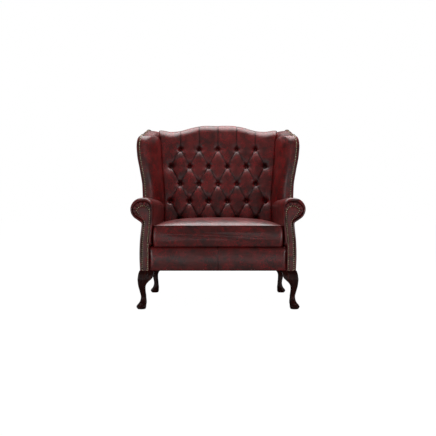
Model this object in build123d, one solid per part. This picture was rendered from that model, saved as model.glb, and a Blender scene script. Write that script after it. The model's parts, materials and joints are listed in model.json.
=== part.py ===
from build123d import *
import os
from math import acos, atan2, cos, degrees, hypot, radians, sin, sqrt, tan

# Winged two-seat sofa: buttoned leather over a beech frame, on four cabriole legs.
# Millimetres. x runs to the right, z up, and y from the front toes to the back.
# The right half (+x) is modelled and mirrored; at the end the whole sofa is set
# down with the origin on the floor, under the middle of its box.

# Driving sizes
overall_height = 1130
overall_depth = 840
leg_height = 208
deck_height = 341
arm_height = 607
seat_half_width = 360
back_rake_angle = 9
overrun = 40
reach = 1500
soft_clearance = 0.3

# Beech frame
frame_inner_x = 376
frame_outer_x = 411
rail_thickness = 26
clip_height = 8.5
deck_thickness = 10.5
dust_cover_thickness = 1.5
dust_cover_margin = 6
border_front_y = 31
border_thickness = 5
border_lip_depth = 68
border_edge_radius = 6
border_seam_width = 3
stump_depth = 48
stretcher_width = 40
stretcher_drop = 30
stretcher_height = 60
corner_block_leg = 70
corner_block_rise = 30
corner_block_height = 60
arm_rail_outer_x = 456
arm_rail_top_z = 553
arm_rail_thickness = 28
post_thickness = 30
post_head_inner_x = 424
post_head_outer_x = 464
crest_rail_height = 95
stay_rail_width = 55
stay_rail_rise = 20
upright_width = 40
upright_thickness = 22
upright_x = 128
dowel_radius = 5
dowel_length = 44
dowel_inset = 24

# Camel-humped crest, drawn on the raked back
hump_rise = 43
hump_flat_half = 80
hump_half_width = 330
crest_padding = 22
crest_front_radius = 45
crest_rear_radius = 12

# Inside back: one deep-buttoned pad
back_pad_thickness = 75
back_pad_head_half_width = 409
button_pitch_x = 128
button_pitch_up = 120
top_button_drop = 163
button_rows = (5, 6, 5, 6, 5)
button_radius = 10
button_rim = 2
button_height = 7
button_seat_radius = 12
button_depth = 39
dimple_radius = 54
fold_depth = 24
fold_half_width = 50
fold_bank_share = 0.26
crest_pleat_depth = 8
crest_pleat_width = 13
side_pleat_depth = 7
twine_radius = 1
webbing_thickness = 1.5
webbing_width = 50
outside_back_thickness = 4

# Rolled arm, drawn from the front
roll_radius = 62
roll_centre_x = 417
shoulder_radius = 40
neck_x = 416.5
neck_z = 470
arm_low_x = 426
arm_bulge_x = 429.5
arm_waist_x = 425.7
arm_bulge_z = 300
arm_waist_z = 388
arm_front_y = 22
facing_thickness = 4
arm_front_depth = 20
band_edge_radius = 5
band_foot_x = 377
band_hip_x = 368
band_hip_z = 361
band_side_z = 450
band_pleat_count = 9
band_pleat_first_angle = -30
band_pleat_last_angle = 210
band_pleat_depth = 2

# Nailed facing of the arm, drawn from the front
facing_head_radius = 37.5
facing_head_x = 409
facing_head_z = 526
facing_foot_inner_x = 384
facing_foot_outer_x = 413.6
facing_waist_x = 411.5
facing_knee_z = 372
facing_side_z = 445
facing_throat_x = 402
facing_throat_low_z = 459
facing_throat_high_z = 478

# Wing
wing_foot_z = 560
wing_front_top_z = 1022
wing_rear_top_z = 1092
wing_foot_front_y = 497
wing_belly_front_y = 462
wing_foot_x = 482
wing_belly_x = 517
wing_rear_foot_x = 433
wing_rear_head_x = 496
wing_nose_width = 58
wing_top_radius = 28
wing_panel_thickness = 20
wing_tuck = 12
wing_upright_width = 26
wing_upright_depth = 34
wing_upright_cover = 7
wing_rail_height = 28
wing_rail_drop = 10

# The wing's edge from the arm to below its rounded top, hand-drawn: shares of the
# height, of the flare outwards and of the lean forwards
wing_station_shares = (
    (0.00, 0.00, 0.00),
    (0.30, 0.05, 0.35),
    (0.52, 0.42, 0.75),
    (0.72, 0.88, 0.97),
    (0.86, 1.00, 1.00),
)
wing_round_angles = (0, 35, 65, 85)

# Upholstery nails
nail_radius = 4.8
nail_head_height = 2.6
nail_shank_radius = 0.9
nail_shank_length = 9
nail_pitch = 10.9
wing_nail_start = 18

# Zigzag seat springs
spring_count = 6
spring_pitch = 116
spring_half_width = 24
spring_bar_count = 20
spring_wire_radius = 1.9
spring_bend_share = 0.45
clip_width = 16
clip_depth = 14

# Seat cushion
cushion_half_width = 353
cushion_back_y = 599
cushion_edge_height = 117
cushion_crown = 42
cushion_draw = 6
cushion_boxing_bulge = 6
cushion_cover_thickness = 3
cushion_station_shares = (-1, -0.75, -0.4, 0, 0.4, 0.75, 1)
zip_half_length = 250
zip_tape_height = 18
zip_tape_thickness = 1
zip_ridge_height = 5
zip_ridge_thickness = 1.5
zip_pocket_height = 36
zip_pocket_depth = 5.5
zip_pocket_wall = 2.5
slider_length = 14
slider_height = 10
slider_thickness = 3.5
slider_pull_length = 9
slider_pull_width = 6
slider_pull_thickness = 1.2
slider_end_gap = 6

# Cabriole legs
leg_x = 408
front_leg_y = 46
rear_leg_y = 622
leg_head_width = 58
ear_reach = 64
ear_drop = 76
ear_thickness = 22
ear_set_back = 11
bolt_radius = 4
bolt_length = 60

# A leg from the floor up, hand-drawn: share of the height, then the shift towards
# the toe and the width as shares of the head's width, and the corner radius as a
# share of the width
leg_station_shares = (
    (0.00, 0.27, 0.80, 0.47),
    (0.05, 0.30, 0.93, 0.47),
    (0.10, 0.23, 0.88, 0.47),
    (0.16, 0.09, 0.72, 0.47),
    (0.23, 0.03, 0.58, 0.47),
    (0.31, 0.02, 0.51, 0.46),
    (0.46, 0.13, 0.55, 0.44),
    (0.60, 0.21, 0.68, 0.42),
    (0.70, 0.17, 0.83, 0.38),
    (0.80, 0.10, 0.96, 0.33),
    (0.90, 0.02, 0.98, 0.28),
    (1.00, -0.04, 0.86, 0.24),
)

# Underside of a leg's bracket, hand-drawn: shares of its reach and of its drop
ear_curl_shares = ((1.00, 0.00), (0.89, 0.32), (0.72, 0.55))
ear_sweep_shares = ((0.72, 0.55), (0.41, 0.75), (0.22, 1.00))

# Worked-out places
rake = radians(back_rake_angle)
rail_bottom = leg_height
deck_bottom = deck_height - deck_thickness
rail_top = deck_bottom - clip_height
front_rail_y = border_front_y + border_thickness
arm_body_y = arm_front_y + arm_front_depth
roll_centre_z = arm_height - roll_radius
back_shell = post_thickness + outside_back_thickness
crest_up = (
    (overall_height - leg_height - crest_front_radius
     - (back_pad_thickness - crest_front_radius) * sin(rake)) / cos(rake)
    + crest_front_radius
)
dip_up = crest_up - hump_rise
toe_reach = leg_head_width * max(
    shift * sqrt(1 / 2) + width / 2 for _, shift, width, _ in leg_station_shares
)
back_foot_y = (
    front_leg_y - toe_reach + overall_depth
    - (crest_up - crest_rear_radius) * sin(rake) - back_shell * cos(rake)
)
arm_up = (arm_height - leg_height) / cos(rake)
post_head_up = dip_up - crest_padding
stay_up = (deck_height + stay_rail_rise - leg_height) / cos(rake)
pad_back = 2 * webbing_thickness

back_plane = Plane(
    origin=(0, back_foot_y, leg_height),
    x_dir=(1, 0, 0),
    z_dir=(0, -cos(rake), sin(rake)),
)


def back_y(z, front=0):
    """Depth of the raked plane that lies `front` before the frame, at height z."""
    return back_foot_y + (z - leg_height) * tan(rake) - front / cos(rake)


def on_back(shape):
    """Place a shape drawn on the back (x, up, towards the front) in the sofa."""
    return back_plane.location * shape


def block(x0, x1, y0, y1, z0, z1):
    """Upright block between two opposite corners."""
    centre = Pos((x0 + x1) / 2, (y0 + y1) / 2, (z0 + z1) / 2)
    return centre * Box(x1 - x0, y1 - y0, z1 - z0)


def mirrored(shape):
    """The same piece for the other side of the sofa."""
    return mirror(shape, about=Plane.YZ)


def polygon(*points):
    """Flat face inside straight edges."""
    return make_face(Polyline(*points, close=True))


def front_face(face):
    """Stand a face drawn as (x, z) upright, looking to the front."""
    return Plane.XZ * face


def through_y(face, y0, y1):
    """Solid of a face drawn as (x, z), from depth y0 to depth y1."""
    return Pos(0, y0, 0) * extrude(front_face(face), amount=y0 - y1)


def cleaned(shape, tools):
    """Cut a list of neighbours out of a piece."""
    for tool in tools:
        shape = shape - tool
    return shape


behind_frame = on_back(Pos(0, 0, -reach / 2) * Box(2 * reach, 2 * reach, reach))
behind_sofa = on_back(
    Pos(0, 0, -reach / 2 - back_shell) * Box(2 * reach, 2 * reach, reach)
)


# Raked back


def under_hump(drop):
    """Face below the camel-humped line, lowered by drop."""
    top = crest_up - drop
    low = dip_up - drop
    turn_x = (hump_flat_half + hump_half_width) / 2
    middle = (top + low) / 2
    flat = Line((-hump_flat_half, top), (hump_flat_half, top))
    fall = TangentArc((hump_flat_half, top), (turn_x, middle), tangent=(1, 0))
    foot = TangentArc((turn_x, middle), (hump_half_width, low), tangent=fall % 1)
    shoulder = Line((hump_half_width, low), (reach, low))
    side = Line((reach, low), (reach, -overrun))
    half = [fall, foot, shoulder, side]
    base = Line((reach, -overrun), (-reach, -overrun))
    return make_face([flat, base] + half + [mirror(edge, about=Plane.YZ) for edge in half])


def between_sides(foot_x, head_x):
    """Face of the back: upright to the height of the arm, then splayed."""
    return polygon(
        (-foot_x, -overrun), (foot_x, -overrun), (foot_x, arm_up),
        (head_x, crest_up), (head_x, crest_up + overrun),
        (-head_x, crest_up + overrun), (-head_x, crest_up), (-foot_x, arm_up),
    )


def post_outline():
    """Right back post, sawn with a bend at the height of the arm."""
    return polygon(
        (frame_inner_x, -overrun), (frame_outer_x, -overrun), (frame_outer_x, arm_up),
        (post_head_outer_x, post_head_up), (post_head_inner_x, post_head_up),
        (frame_inner_x, arm_up),
    )


def back_frame():
    """Posts, crest rail, stay rail and uprights of the raked back."""
    below_seat = block(-reach, reach, 0, reach, -reach, rail_bottom)
    post = on_back(Pos(0, 0, -post_thickness) * extrude(post_outline(), amount=post_thickness))
    post = post - below_seat
    inner = polygon(
        (-frame_inner_x, -overrun), (frame_inner_x, -overrun), (frame_inner_x, arm_up),
        (post_head_inner_x, post_head_up), (post_head_inner_x, crest_up),
        (-post_head_inner_x, crest_up), (-post_head_inner_x, post_head_up),
        (-frame_inner_x, arm_up),
    )
    crest_low = post_head_up - crest_rail_height
    band = Pos(0, crest_low + reach / 2) * Rectangle(2 * reach, reach)
    crest_face = under_hump(crest_padding) & inner & band
    crest = on_back(Pos(0, 0, -post_thickness) * extrude(crest_face, amount=post_thickness))
    stay_band = Pos(0, stay_up + stay_rail_width / 2) * Rectangle(2 * reach, stay_rail_width)
    stay = on_back(
        Pos(0, 0, -post_thickness) * extrude(inner & stay_band, amount=post_thickness)
    )
    upright_low = stay_up + stay_rail_width
    uprights = []
    for x in (-upright_x, upright_x):
        middle = Pos(x, (upright_low + crest_low) / 2, -upright_thickness / 2)
        bar = Box(upright_width, crest_low - upright_low, upright_thickness)
        uprights.append(on_back(middle * bar))
    return post, crest, stay, uprights


def button_places():
    """Places of the buttons on the back, row by row from the top."""
    places = []
    top = crest_up - top_button_drop
    for row, count in enumerate(button_rows):
        up = top - row * button_pitch_up
        first = -(count - 1) / 2 * button_pitch_x
        places.append([(first + i * button_pitch_x, up) for i in range(count)])
    return places


def fold_lines():
    """Straight fold lines between the buttons, each as its two end places."""
    rows = button_places()
    lines = []
    for lean in (-1, 1):
        used = set()
        for start_row in range(len(rows)):
            for start in rows[start_row]:
                if start in used:
                    continue
                end = start
                for row in rows[start_row + 1:]:
                    target = end[0] + lean * button_pitch_x / 2
                    hits = [p for p in row if abs(p[0] - target) < button_radius]
                    if not hits:
                        break
                    end = hits[0]
                    used.add(end)
                if end != start:
                    lines.append((start, end))
    return lines


def fold_cutter(start, end):
    """Valley between two rows of diamonds, with softly rounded banks."""
    length = hypot(end[0] - start[0], end[1] - start[1])
    angle = degrees(atan2(end[1] - start[1], end[0] - start[0]))
    bank_x = fold_half_width / 2
    bank_z = fold_depth * fold_bank_share
    left = ThreePointArc((-fold_half_width, 0), (-bank_x, -bank_z), (0, -fold_depth))
    right = ThreePointArc((0, -fold_depth), (bank_x, -bank_z), (fold_half_width, 0))
    roof = Polyline(
        (fold_half_width, 0), (fold_half_width, overrun),
        (-fold_half_width, overrun), (-fold_half_width, 0),
    )
    face = Plane.YZ * make_face([left, right, roof])
    valley = extrude(face, amount=length)
    return Pos(start[0], start[1], back_pad_thickness) * Rot(0, 0, angle) * valley


def dimple_cutter(place):
    """Hollow that a button draws into the pad, flat where the button sits."""
    rise = overrun * (dimple_radius - button_seat_radius) / button_depth
    profile = Plane.XZ * polygon(
        (0, -button_depth), (button_seat_radius, -button_depth),
        (dimple_radius, 0), (dimple_radius + rise, overrun), (0, overrun),
    )
    hollow = revolve(profile, axis=Axis.Z)
    return Pos(place[0], place[1], back_pad_thickness) * hollow


def hump_up(x):
    """Height of the crest line on the back at x."""
    x = abs(x)
    half_run = (hump_half_width - hump_flat_half) / 2
    radius = (half_run ** 2 + (hump_rise / 2) ** 2) / hump_rise
    if x <= hump_flat_half:
        return crest_up
    if x <= hump_flat_half + half_run:
        return crest_up - radius + sqrt(radius ** 2 - (x - hump_flat_half) ** 2)
    if x <= hump_half_width:
        return dip_up + radius - sqrt(radius ** 2 - (hump_half_width - x) ** 2)
    return dip_up


def crest_pleat(x):
    """Straight pleat from a top button over the rolled crest."""
    low = crest_up - top_button_drop
    bend = hump_up(x) - crest_front_radius
    depth = back_pad_thickness - crest_front_radius
    wedge = polygon(
        (-crest_pleat_width / 2, crest_front_radius + crest_pleat_depth),
        (0, crest_front_radius - crest_pleat_depth),
        (crest_pleat_width / 2, crest_front_radius + crest_pleat_depth),
    )
    start = Plane(origin=(x, bend, depth), x_dir=(1, 0, 0), z_dir=(0, -1, 0)) * wedge
    end = Plane(origin=(x, bend, depth), x_dir=(-1, 0, 0), z_dir=(0, 0, -1)) * wedge
    up = extrude(start, amount=bend - low)
    turn = revolve(start, axis=Axis((x, bend, depth), (-1, 0, 0)), revolution_arc=90)
    over = extrude(end, amount=depth + back_shell + overrun)
    return up + turn + over


def side_pleat(place, side):
    """Faint level pleat from an outer button to the side of the back."""
    wedge = polygon(
        (-crest_pleat_width / 2, side_pleat_depth),
        (0, -side_pleat_depth), (crest_pleat_width / 2, side_pleat_depth),
    )
    length = seat_half_width + overrun - abs(place[0])
    solid = extrude(Plane.YZ * wedge, amount=side * length)
    return Pos(place[0], place[1], back_pad_thickness) * solid


def back_pad_body():
    """Inside back before the buttons are drawn in, in back coordinates."""
    outline = under_hump(0) & between_sides(seat_half_width, back_pad_head_half_width)
    depth = back_pad_thickness + back_shell
    body = Pos(0, 0, -back_shell) * extrude(outline, amount=depth)
    edges = body.edges().filter_by_position(Axis.Y, dip_up - button_radius, crest_up + overrun)
    front = edges.filter_by_position(
        Axis.Z, back_pad_thickness - webbing_thickness, back_pad_thickness + webbing_thickness
    )
    body = fillet(front, crest_front_radius)
    edges = body.edges().filter_by_position(Axis.Y, dip_up - button_radius, crest_up + overrun)
    rear = edges.filter_by_position(
        Axis.Z, -back_shell - webbing_thickness, -back_shell + webbing_thickness
    )
    body = fillet(rear, crest_rear_radius)
    core = Pos(0, 0, -back_shell - overrun) * extrude(
        under_hump(crest_padding), amount=back_shell + overrun + pad_back
    )
    return body - core


def inside_back(body):
    """Deep-buttoned pad: folds between the buttons, hollows, pleats and twine holes."""
    rows = button_places()
    places = [place for row in rows for place in row]
    cutters = [fold_cutter(start, end) for start, end in fold_lines()]
    cutters += [dimple_cutter(place) for place in places]
    cutters += [crest_pleat(place[0]) for place in rows[0]]
    for row in rows[1::2]:
        cutters += [side_pleat(row[0], -1), side_pleat(row[-1], 1)]
    cutters += [twine(place) for place in places]
    return cleaned(body, cutters)


def twine(place):
    """Waxed twine that pulls one button in, through the pad to the webbing."""
    length = back_pad_thickness - button_depth - pad_back
    return Pos(place[0], place[1], pad_back + length / 2) * Cylinder(twine_radius, length)


def dome_arc(radius, low, rise):
    """Half of a low round dome, from its rim to the top on its axis."""
    bend = (radius ** 2 + rise ** 2) / (2 * rise)
    half = atan2(radius, bend - rise) / 2
    middle = (bend * sin(half), low + rise - bend * (1 - cos(half)))
    return ThreePointArc((radius, low), middle, (0, low + rise))


def button(place):
    """Leather-covered button: a low dome on a flat base."""
    arc = dome_arc(button_radius, button_rim, button_height - button_rim)
    rim = Polyline((0, button_height), (0, 0), (button_radius, 0), (button_radius, button_rim))
    dome = revolve(Plane.XZ * make_face([arc, rim]), axis=Axis.Z)
    return Pos(place[0], place[1], back_pad_thickness - button_depth) * dome


def post_inner_x(up):
    """Inner side of the right post at a height on the back."""
    share = max(0, (up - arm_up) / (post_head_up - arm_up))
    return frame_inner_x + share * (post_head_inner_x - frame_inner_x)


def webbing():
    """Upright and level webbing straps, tacked to the front of the back frame."""
    straps = []
    low = stay_up + stay_rail_width / 2
    high = post_head_up - crest_rail_height / 2
    count = int(2 * frame_inner_x / button_pitch_x)
    for i in range(count):
        x = (i - (count - 1) / 2) * button_pitch_x
        middle = Pos(x, (low + high) / 2, webbing_thickness / 2)
        straps.append(middle * Box(webbing_width, high - low, webbing_thickness))
    for row in button_places()[:-1]:
        up = row[0][1]
        middle = Pos(0, up, webbing_thickness + webbing_thickness / 2)
        length = 2 * post_inner_x(up) + webbing_width / 2
        straps.append(middle * Box(length, webbing_width, webbing_thickness))
    return straps


def outside_back():
    """Leather panel behind the sofa."""
    outline = under_hump(crest_padding) & between_sides(
        frame_outer_x, wing_rear_head_x - wing_panel_thickness
    )
    panel = on_back(Pos(0, 0, -back_shell) * extrude(outline, amount=outside_back_thickness))
    return panel - block(-reach, reach, 0, reach, -reach, leg_height)


# Seat frame


def seat_frame():
    """Right stump, right side rail, and the rails and stretcher of the seat."""
    front_end = front_rail_y + rail_thickness
    stump_end = arm_body_y + stump_depth
    arm_rail_low = arm_rail_top_z - arm_rail_thickness
    rear_start = back_y(rail_bottom)
    side_inner = frame_outer_x - rail_thickness
    front_rail = block(-frame_inner_x, frame_inner_x, front_rail_y, front_end,
                       rail_bottom, rail_top)
    back_rail = block(-frame_inner_x, frame_inner_x, rear_start, rear_start + rail_thickness,
                      rail_bottom, rail_top)
    side_rail = block(side_inner, frame_outer_x, stump_end, reach, rail_bottom, rail_top)
    side_rail = side_rail - behind_frame
    stump = block(frame_inner_x, frame_outer_x, arm_body_y, stump_end, rail_bottom, arm_rail_low)
    middle = rail_bottom + stretcher_drop
    stretcher = block(-stretcher_width / 2, stretcher_width / 2, front_end, rear_start,
                      middle, middle + stretcher_height)
    arm_rail = block(frame_inner_x, arm_rail_outer_x, arm_body_y, reach,
                     arm_rail_low, arm_rail_top_z) - behind_frame
    return front_rail, back_rail, side_rail, stump, stretcher, arm_rail


def corner_block(y, towards):
    """Right-hand glue block in a corner of the seat frame."""
    x = frame_outer_x - rail_thickness
    corner = Polyline(
        (x, y), (x - corner_block_leg, y), (x, y + towards * corner_block_leg), close=True
    )
    low = rail_bottom + corner_block_rise
    return Pos(0, 0, low) * extrude(make_face(corner), amount=corner_block_height)


def dowel(x, y, z, axis):
    """Beech dowel centred on a joint; axis is its direction."""
    place = Plane(origin=(x, y, z), z_dir=axis)
    return place.location * Cylinder(dowel_radius, dowel_length)


def right_dowels():
    """Dowels of the right half of the frame."""
    low = rail_bottom + dowel_inset
    high = rail_bottom + 2 * dowel_inset
    side_x = frame_outer_x - rail_thickness / 2
    post_x = (frame_inner_x + frame_outer_x) / 2
    front_y = front_rail_y + rail_thickness / 2
    back_rail_y = back_y(rail_bottom) + rail_thickness / 2
    stump_end = arm_body_y + stump_depth
    arm_middle = arm_rail_top_z - arm_rail_thickness / 2
    across, along, upright = (1, 0, 0), (0, 1, 0), (0, 0, 1)
    pins = []
    for z in (low, high):
        pins.append(dowel(frame_inner_x, front_y, z + dowel_inset / 2, across))
        pins.append(dowel(frame_inner_x, back_rail_y, z, across))
        pins.append(dowel(side_x, stump_end, z + dowel_inset, along))
        pins.append(dowel(side_x, back_y(z + dowel_inset), z + dowel_inset, along))
    for y in (arm_body_y + stump_depth / 4, stump_end - stump_depth / 4):
        pins.append(dowel(post_x, y, arm_rail_top_z - arm_rail_thickness, upright))
    pins.append(dowel(post_x, back_y(arm_middle), arm_middle, along))
    wing_x, wing_y = wing_upright_foot()
    pins.append(dowel(wing_x, wing_y, arm_rail_top_z, upright))
    half = -post_thickness / 2
    crest_low = post_head_up - crest_rail_height
    stay_middle = stay_up + stay_rail_width / 2
    raked = [((frame_inner_x, stay_middle, half), across)]
    for up in (post_head_up - dowel_inset, crest_low + dowel_inset):
        raked.append(((post_inner_x(up), up, half), across))
    for up in (stay_up + stay_rail_width, crest_low):
        raked.append(((upright_x, up, -upright_thickness / 2), (0, 1, 0)))
    for place, axis in raked:
        pin = Plane(origin=place, z_dir=axis).location * Cylinder(dowel_radius, dowel_length)
        pins.append(on_back(pin))
    return pins


# Springs, deck and covers of the seat


def spring_height():
    """Height of the middle of the spring wire."""
    return rail_top + clip_height / 2


def spring_ends():
    """Depths of the first and the last bar of a spring."""
    first = front_rail_y + rail_thickness / 2
    last = back_y(rail_bottom) + rail_thickness / 2
    return first, last


def seat_spring(x):
    """Zigzag spring from the front rail to the back rail."""
    first, last = spring_ends()
    step = (last - first) / (spring_bar_count - 1)
    points = []
    for i in range(spring_bar_count):
        side = 1 if i % 2 else -1
        y = first + i * step
        points.append((-side * spring_half_width, y, spring_height()))
        points.append((side * spring_half_width, y, spring_height()))
    path = FilletPolyline(*points, radius=step * spring_bend_share)
    start = Plane(origin=points[0], z_dir=(1, 0, 0))
    return Pos(x, 0, 0) * sweep(start * Circle(spring_wire_radius), path=path)


def spring_clip(x, y):
    """Clip that holds one end bar of a spring down on its rail."""
    hold = block(x - clip_width / 2, x + clip_width / 2, y - clip_depth / 2, y + clip_depth / 2,
                 rail_top, deck_bottom)
    wire = Pos(x, y, spring_height()) * Rot(0, 90, 0) * Cylinder(spring_wire_radius, clip_width)
    return hold - wire


def front_border():
    """Leather panel under the cushion, turned back over the edge of the seat."""
    end_y = border_front_y + border_lip_depth
    face = block(-band_foot_x, band_foot_x, border_front_y, front_rail_y, leg_height, deck_height)
    lip = block(-frame_inner_x, frame_inner_x, border_front_y, end_y, deck_bottom, deck_height)
    border = face + lip
    edge = border.edges().filter_by(Axis.X).sort_by(Axis.Z)
    top_front = [e for e in edge if e.center().Z > deck_height - webbing_thickness
                 and e.center().Y < front_rail_y]
    border = fillet(top_front, border_edge_radius)
    seam = Pos(0, border_front_y, (leg_height + deck_height) / 2) * Rot(0, 0, 45) * Box(
        border_seam_width, border_seam_width, deck_height
    )
    return border - seam


# Arm, drawn from the front as (x, z)


def roll_tangent():
    """Place where the underside of the roll leaves its round."""
    away = hypot(neck_x - roll_centre_x, neck_z - roll_centre_z)
    angle = atan2(neck_z - roll_centre_z, neck_x - roll_centre_x) + acos(roll_radius / away)
    return roll_centre_x + roll_radius * cos(angle), roll_centre_z + roll_radius * sin(angle)


def head_edges():
    """Inner shoulder, top, roll and underside of the arm, from the inside to the neck."""
    shoulder = (seat_half_width, arm_height - shoulder_radius)
    crown = (seat_half_width + shoulder_radius, arm_height)
    top = (roll_centre_x, arm_height)
    leave = roll_tangent()
    return [
        TangentArc(shoulder, crown, tangent=(0, 1)),
        Line(crown, top),
        TangentArc(top, leave, tangent=(1, 0)),
        Line(leave, (neck_x, neck_z)),
    ]


def roll_outline():
    """Padded roll and inside of the arm."""
    rest = Polyline(
        (neck_x, neck_z), (frame_inner_x, neck_z), (frame_inner_x, deck_height),
        (seat_half_width, deck_height), (seat_half_width, arm_height - shoulder_radius),
    )
    return make_face(head_edges() + [rest])


def outer_arm_edges():
    """Outside of the arm below the roll, from the neck to the bottom."""
    return [
        Line((neck_x, neck_z), (arm_waist_x, arm_waist_z)),
        ThreePointArc(
            (arm_waist_x, arm_waist_z), (arm_bulge_x, arm_bulge_z), (arm_low_x, leg_height)
        ),
    ]


def arm_front_outline():
    """Whole front of the arm, from the leg to the roll."""
    inner = Polyline(
        (arm_low_x, leg_height), (band_foot_x, leg_height), (band_foot_x, deck_height),
        (band_hip_x, band_hip_z), (seat_half_width, band_side_z),
        (seat_half_width, arm_height - shoulder_radius),
    )
    return make_face(head_edges() + outer_arm_edges() + [inner])


def facing_outline(bottom):
    """Narrow panel inside the nails, with its scroll-shaped head."""
    inner_x = facing_head_x - facing_head_radius
    away = hypot(facing_throat_x - facing_head_x, facing_throat_high_z - facing_head_z)
    angle = atan2(facing_throat_high_z - facing_head_z, facing_throat_x - facing_head_x)
    angle += acos(facing_head_radius / away)
    leave = (
        facing_head_x + facing_head_radius * cos(angle),
        facing_head_z + facing_head_radius * sin(angle),
    )
    slope = (facing_foot_outer_x - facing_waist_x) / (facing_knee_z - leg_height)
    foot_x = facing_waist_x + (facing_knee_z - bottom) * slope
    edges = [
        ThreePointArc(
            (inner_x, facing_head_z), (facing_head_x, facing_head_z + facing_head_radius),
            (facing_head_x + facing_head_radius, facing_head_z),
        ),
        TangentArc((facing_head_x + facing_head_radius, facing_head_z), leave, tangent=(0, -1)),
        Polyline(
            leave, (facing_throat_x, facing_throat_high_z),
            (facing_throat_x, facing_throat_low_z), (facing_waist_x, facing_knee_z),
            (foot_x, bottom), (facing_foot_inner_x, bottom),
            (facing_foot_inner_x, facing_knee_z), (inner_x, facing_side_z),
            (inner_x, facing_head_z),
        ),
    ]
    return make_face(edges)


def pleated_band():
    """Leather gathered round the scroll, between the facing and the roll."""
    band = through_y(arm_front_outline(), arm_front_y, arm_body_y)
    rim = band.edges().filter_by_position(
        Axis.Y, arm_front_y - soft_clearance, arm_front_y + soft_clearance
    )
    head = rim.filter_by_position(Axis.Z, neck_z, arm_height + overrun)
    band = fillet(head, band_edge_radius)
    band = band - through_y(facing_outline(leg_height - overrun), 0, reach)
    length = roll_radius + overrun - facing_head_radius
    step = (band_pleat_last_angle - band_pleat_first_angle) / (band_pleat_count - 1)
    for i in range(band_pleat_count):
        angle = band_pleat_first_angle + i * step
        groove = Rot(45, 0, 0) * Box(length, band_pleat_depth, band_pleat_depth)
        groove = Pos(facing_head_radius + length / 2, 0, 0) * groove
        band = band - Pos(roll_centre_x, arm_front_y, roll_centre_z) * Rot(0, -angle, 0) * groove
    return band


def inside_arm(frame_pieces):
    """Padded roll and inside of the right arm, over its rail."""
    low = arm_rail_top_z - arm_rail_thickness
    pad = through_y(roll_outline(), arm_body_y, reach) - behind_sofa
    hollow = block(frame_inner_x, frame_outer_x, arm_body_y, reach, neck_z - overrun, low)
    return cleaned(pad, [hollow - behind_frame] + frame_pieces)


def outside_arm():
    """Leather panel over the outside of the right arm."""
    rest = Polyline(
        (arm_low_x, leg_height), (frame_outer_x, leg_height), (frame_outer_x, neck_z),
        (neck_x, neck_z),
    )
    profile = make_face(outer_arm_edges() + [rest])
    return through_y(profile, arm_body_y, reach) - behind_sofa


# Wing


def blend(start, end, share):
    """Value a share of the way from start to end."""
    return start + (end - start) * share


def wing_stations():
    """Heights and places of the wing's edge, from the arm to the rounded top.

    Each is the front height, rear height, front depth, outer x at the front,
    outer x at the rear, and how far the edge has rounded in.
    """
    stations = []
    for height, flare, lean in wing_station_shares:
        stations.append((
            blend(wing_foot_z, wing_front_top_z, height),
            blend(wing_foot_z, wing_rear_top_z, height),
            blend(wing_foot_front_y, wing_belly_front_y, lean),
            blend(wing_foot_x, wing_belly_x, flare),
            blend(wing_rear_foot_x, wing_rear_head_x, height),
            0,
        ))
    for angle in wing_round_angles:
        rise = wing_top_radius * (1 - sin(radians(angle)))
        inset = wing_top_radius * (1 - cos(radians(angle)))
        stations.append((
            wing_front_top_z - rise, wing_rear_top_z - rise, wing_belly_front_y,
            wing_belly_x, wing_rear_head_x, inset,
        ))
    return stations


def back_side_x(z):
    """Half width of the inside back at height z."""
    share = max(0, (z - arm_height) / (overall_height - arm_height))
    return blend(seat_half_width, back_pad_head_half_width, share)


def wing_section(station):
    """Section of the wing: nose at the front, open into the back at the rear."""
    front_z, rear_z, front_y, outer_x, rear_x, inset = station
    rear_y = back_y(rear_z, -back_shell) + overrun
    half = wing_nose_width / 2 - inset
    centre_x = outer_x - wing_nose_width / 2
    centre_y = front_y + wing_nose_width / 2

    def at(x, y):
        return (x, y, blend(front_z, rear_z, (y - front_y) / (rear_y - front_y)))

    side_x = back_side_x(rear_z)
    meet_x, meet_y = side_x, back_y(rear_z, back_pad_thickness)
    inner_x = centre_x - half
    slope = (meet_y - centre_y) / (meet_x - inner_x)
    hidden_x = side_x - wing_tuck
    hidden_y = meet_y - slope * wing_tuck
    rest = Polyline(
        at(inner_x, centre_y), at(hidden_x, hidden_y), at(hidden_x, rear_y),
        at(rear_x - inset, rear_y), at(centre_x + half, centre_y),
    )
    nose = ThreePointArc(
        at(centre_x + half, centre_y), at(centre_x, centre_y - half), at(inner_x, centre_y)
    )
    return make_face([nose, rest])


def wing_body():
    """Right wing as one full form, before the frame and its neighbours are cut out."""
    sections = [wing_section(station) for station in wing_stations()]
    side_count = len(wing_station_shares) + 1
    return loft(sections[:side_count]) + loft(sections[side_count - 1:], ruled=True)


def wing_panel_region():
    """Outer slice of the wing, outside the line of nails."""
    sections = []
    stations = wing_stations()
    for station in (stations[0], *stations[1:len(wing_station_shares)], stations[-1]):
        front_z, rear_z, front_y, outer_x, rear_x, _ = station
        rear_y = back_y(rear_z, -back_shell) + overrun
        near_y = front_y - overrun
        slope = (rear_z - front_z) / (rear_y - front_y)
        extra = overrun if station is stations[-1] else 0
        low_z = front_z - slope * overrun + extra
        rear_z += extra
        sections.append(make_face(Polyline(
            (outer_x - wing_panel_thickness, near_y, low_z), (reach, near_y, low_z),
            (reach, rear_y, rear_z), (rear_x - wing_panel_thickness, rear_y, rear_z),
            close=True,
        )))
    return loft(sections)


def wing_upright_foot():
    """Middle of the wing upright where it stands on the arm rail."""
    x = wing_foot_x - wing_panel_thickness - wing_upright_cover - wing_upright_width / 2
    y = wing_foot_front_y + wing_nose_width / 4 + wing_upright_depth / 2
    return x, y


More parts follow.
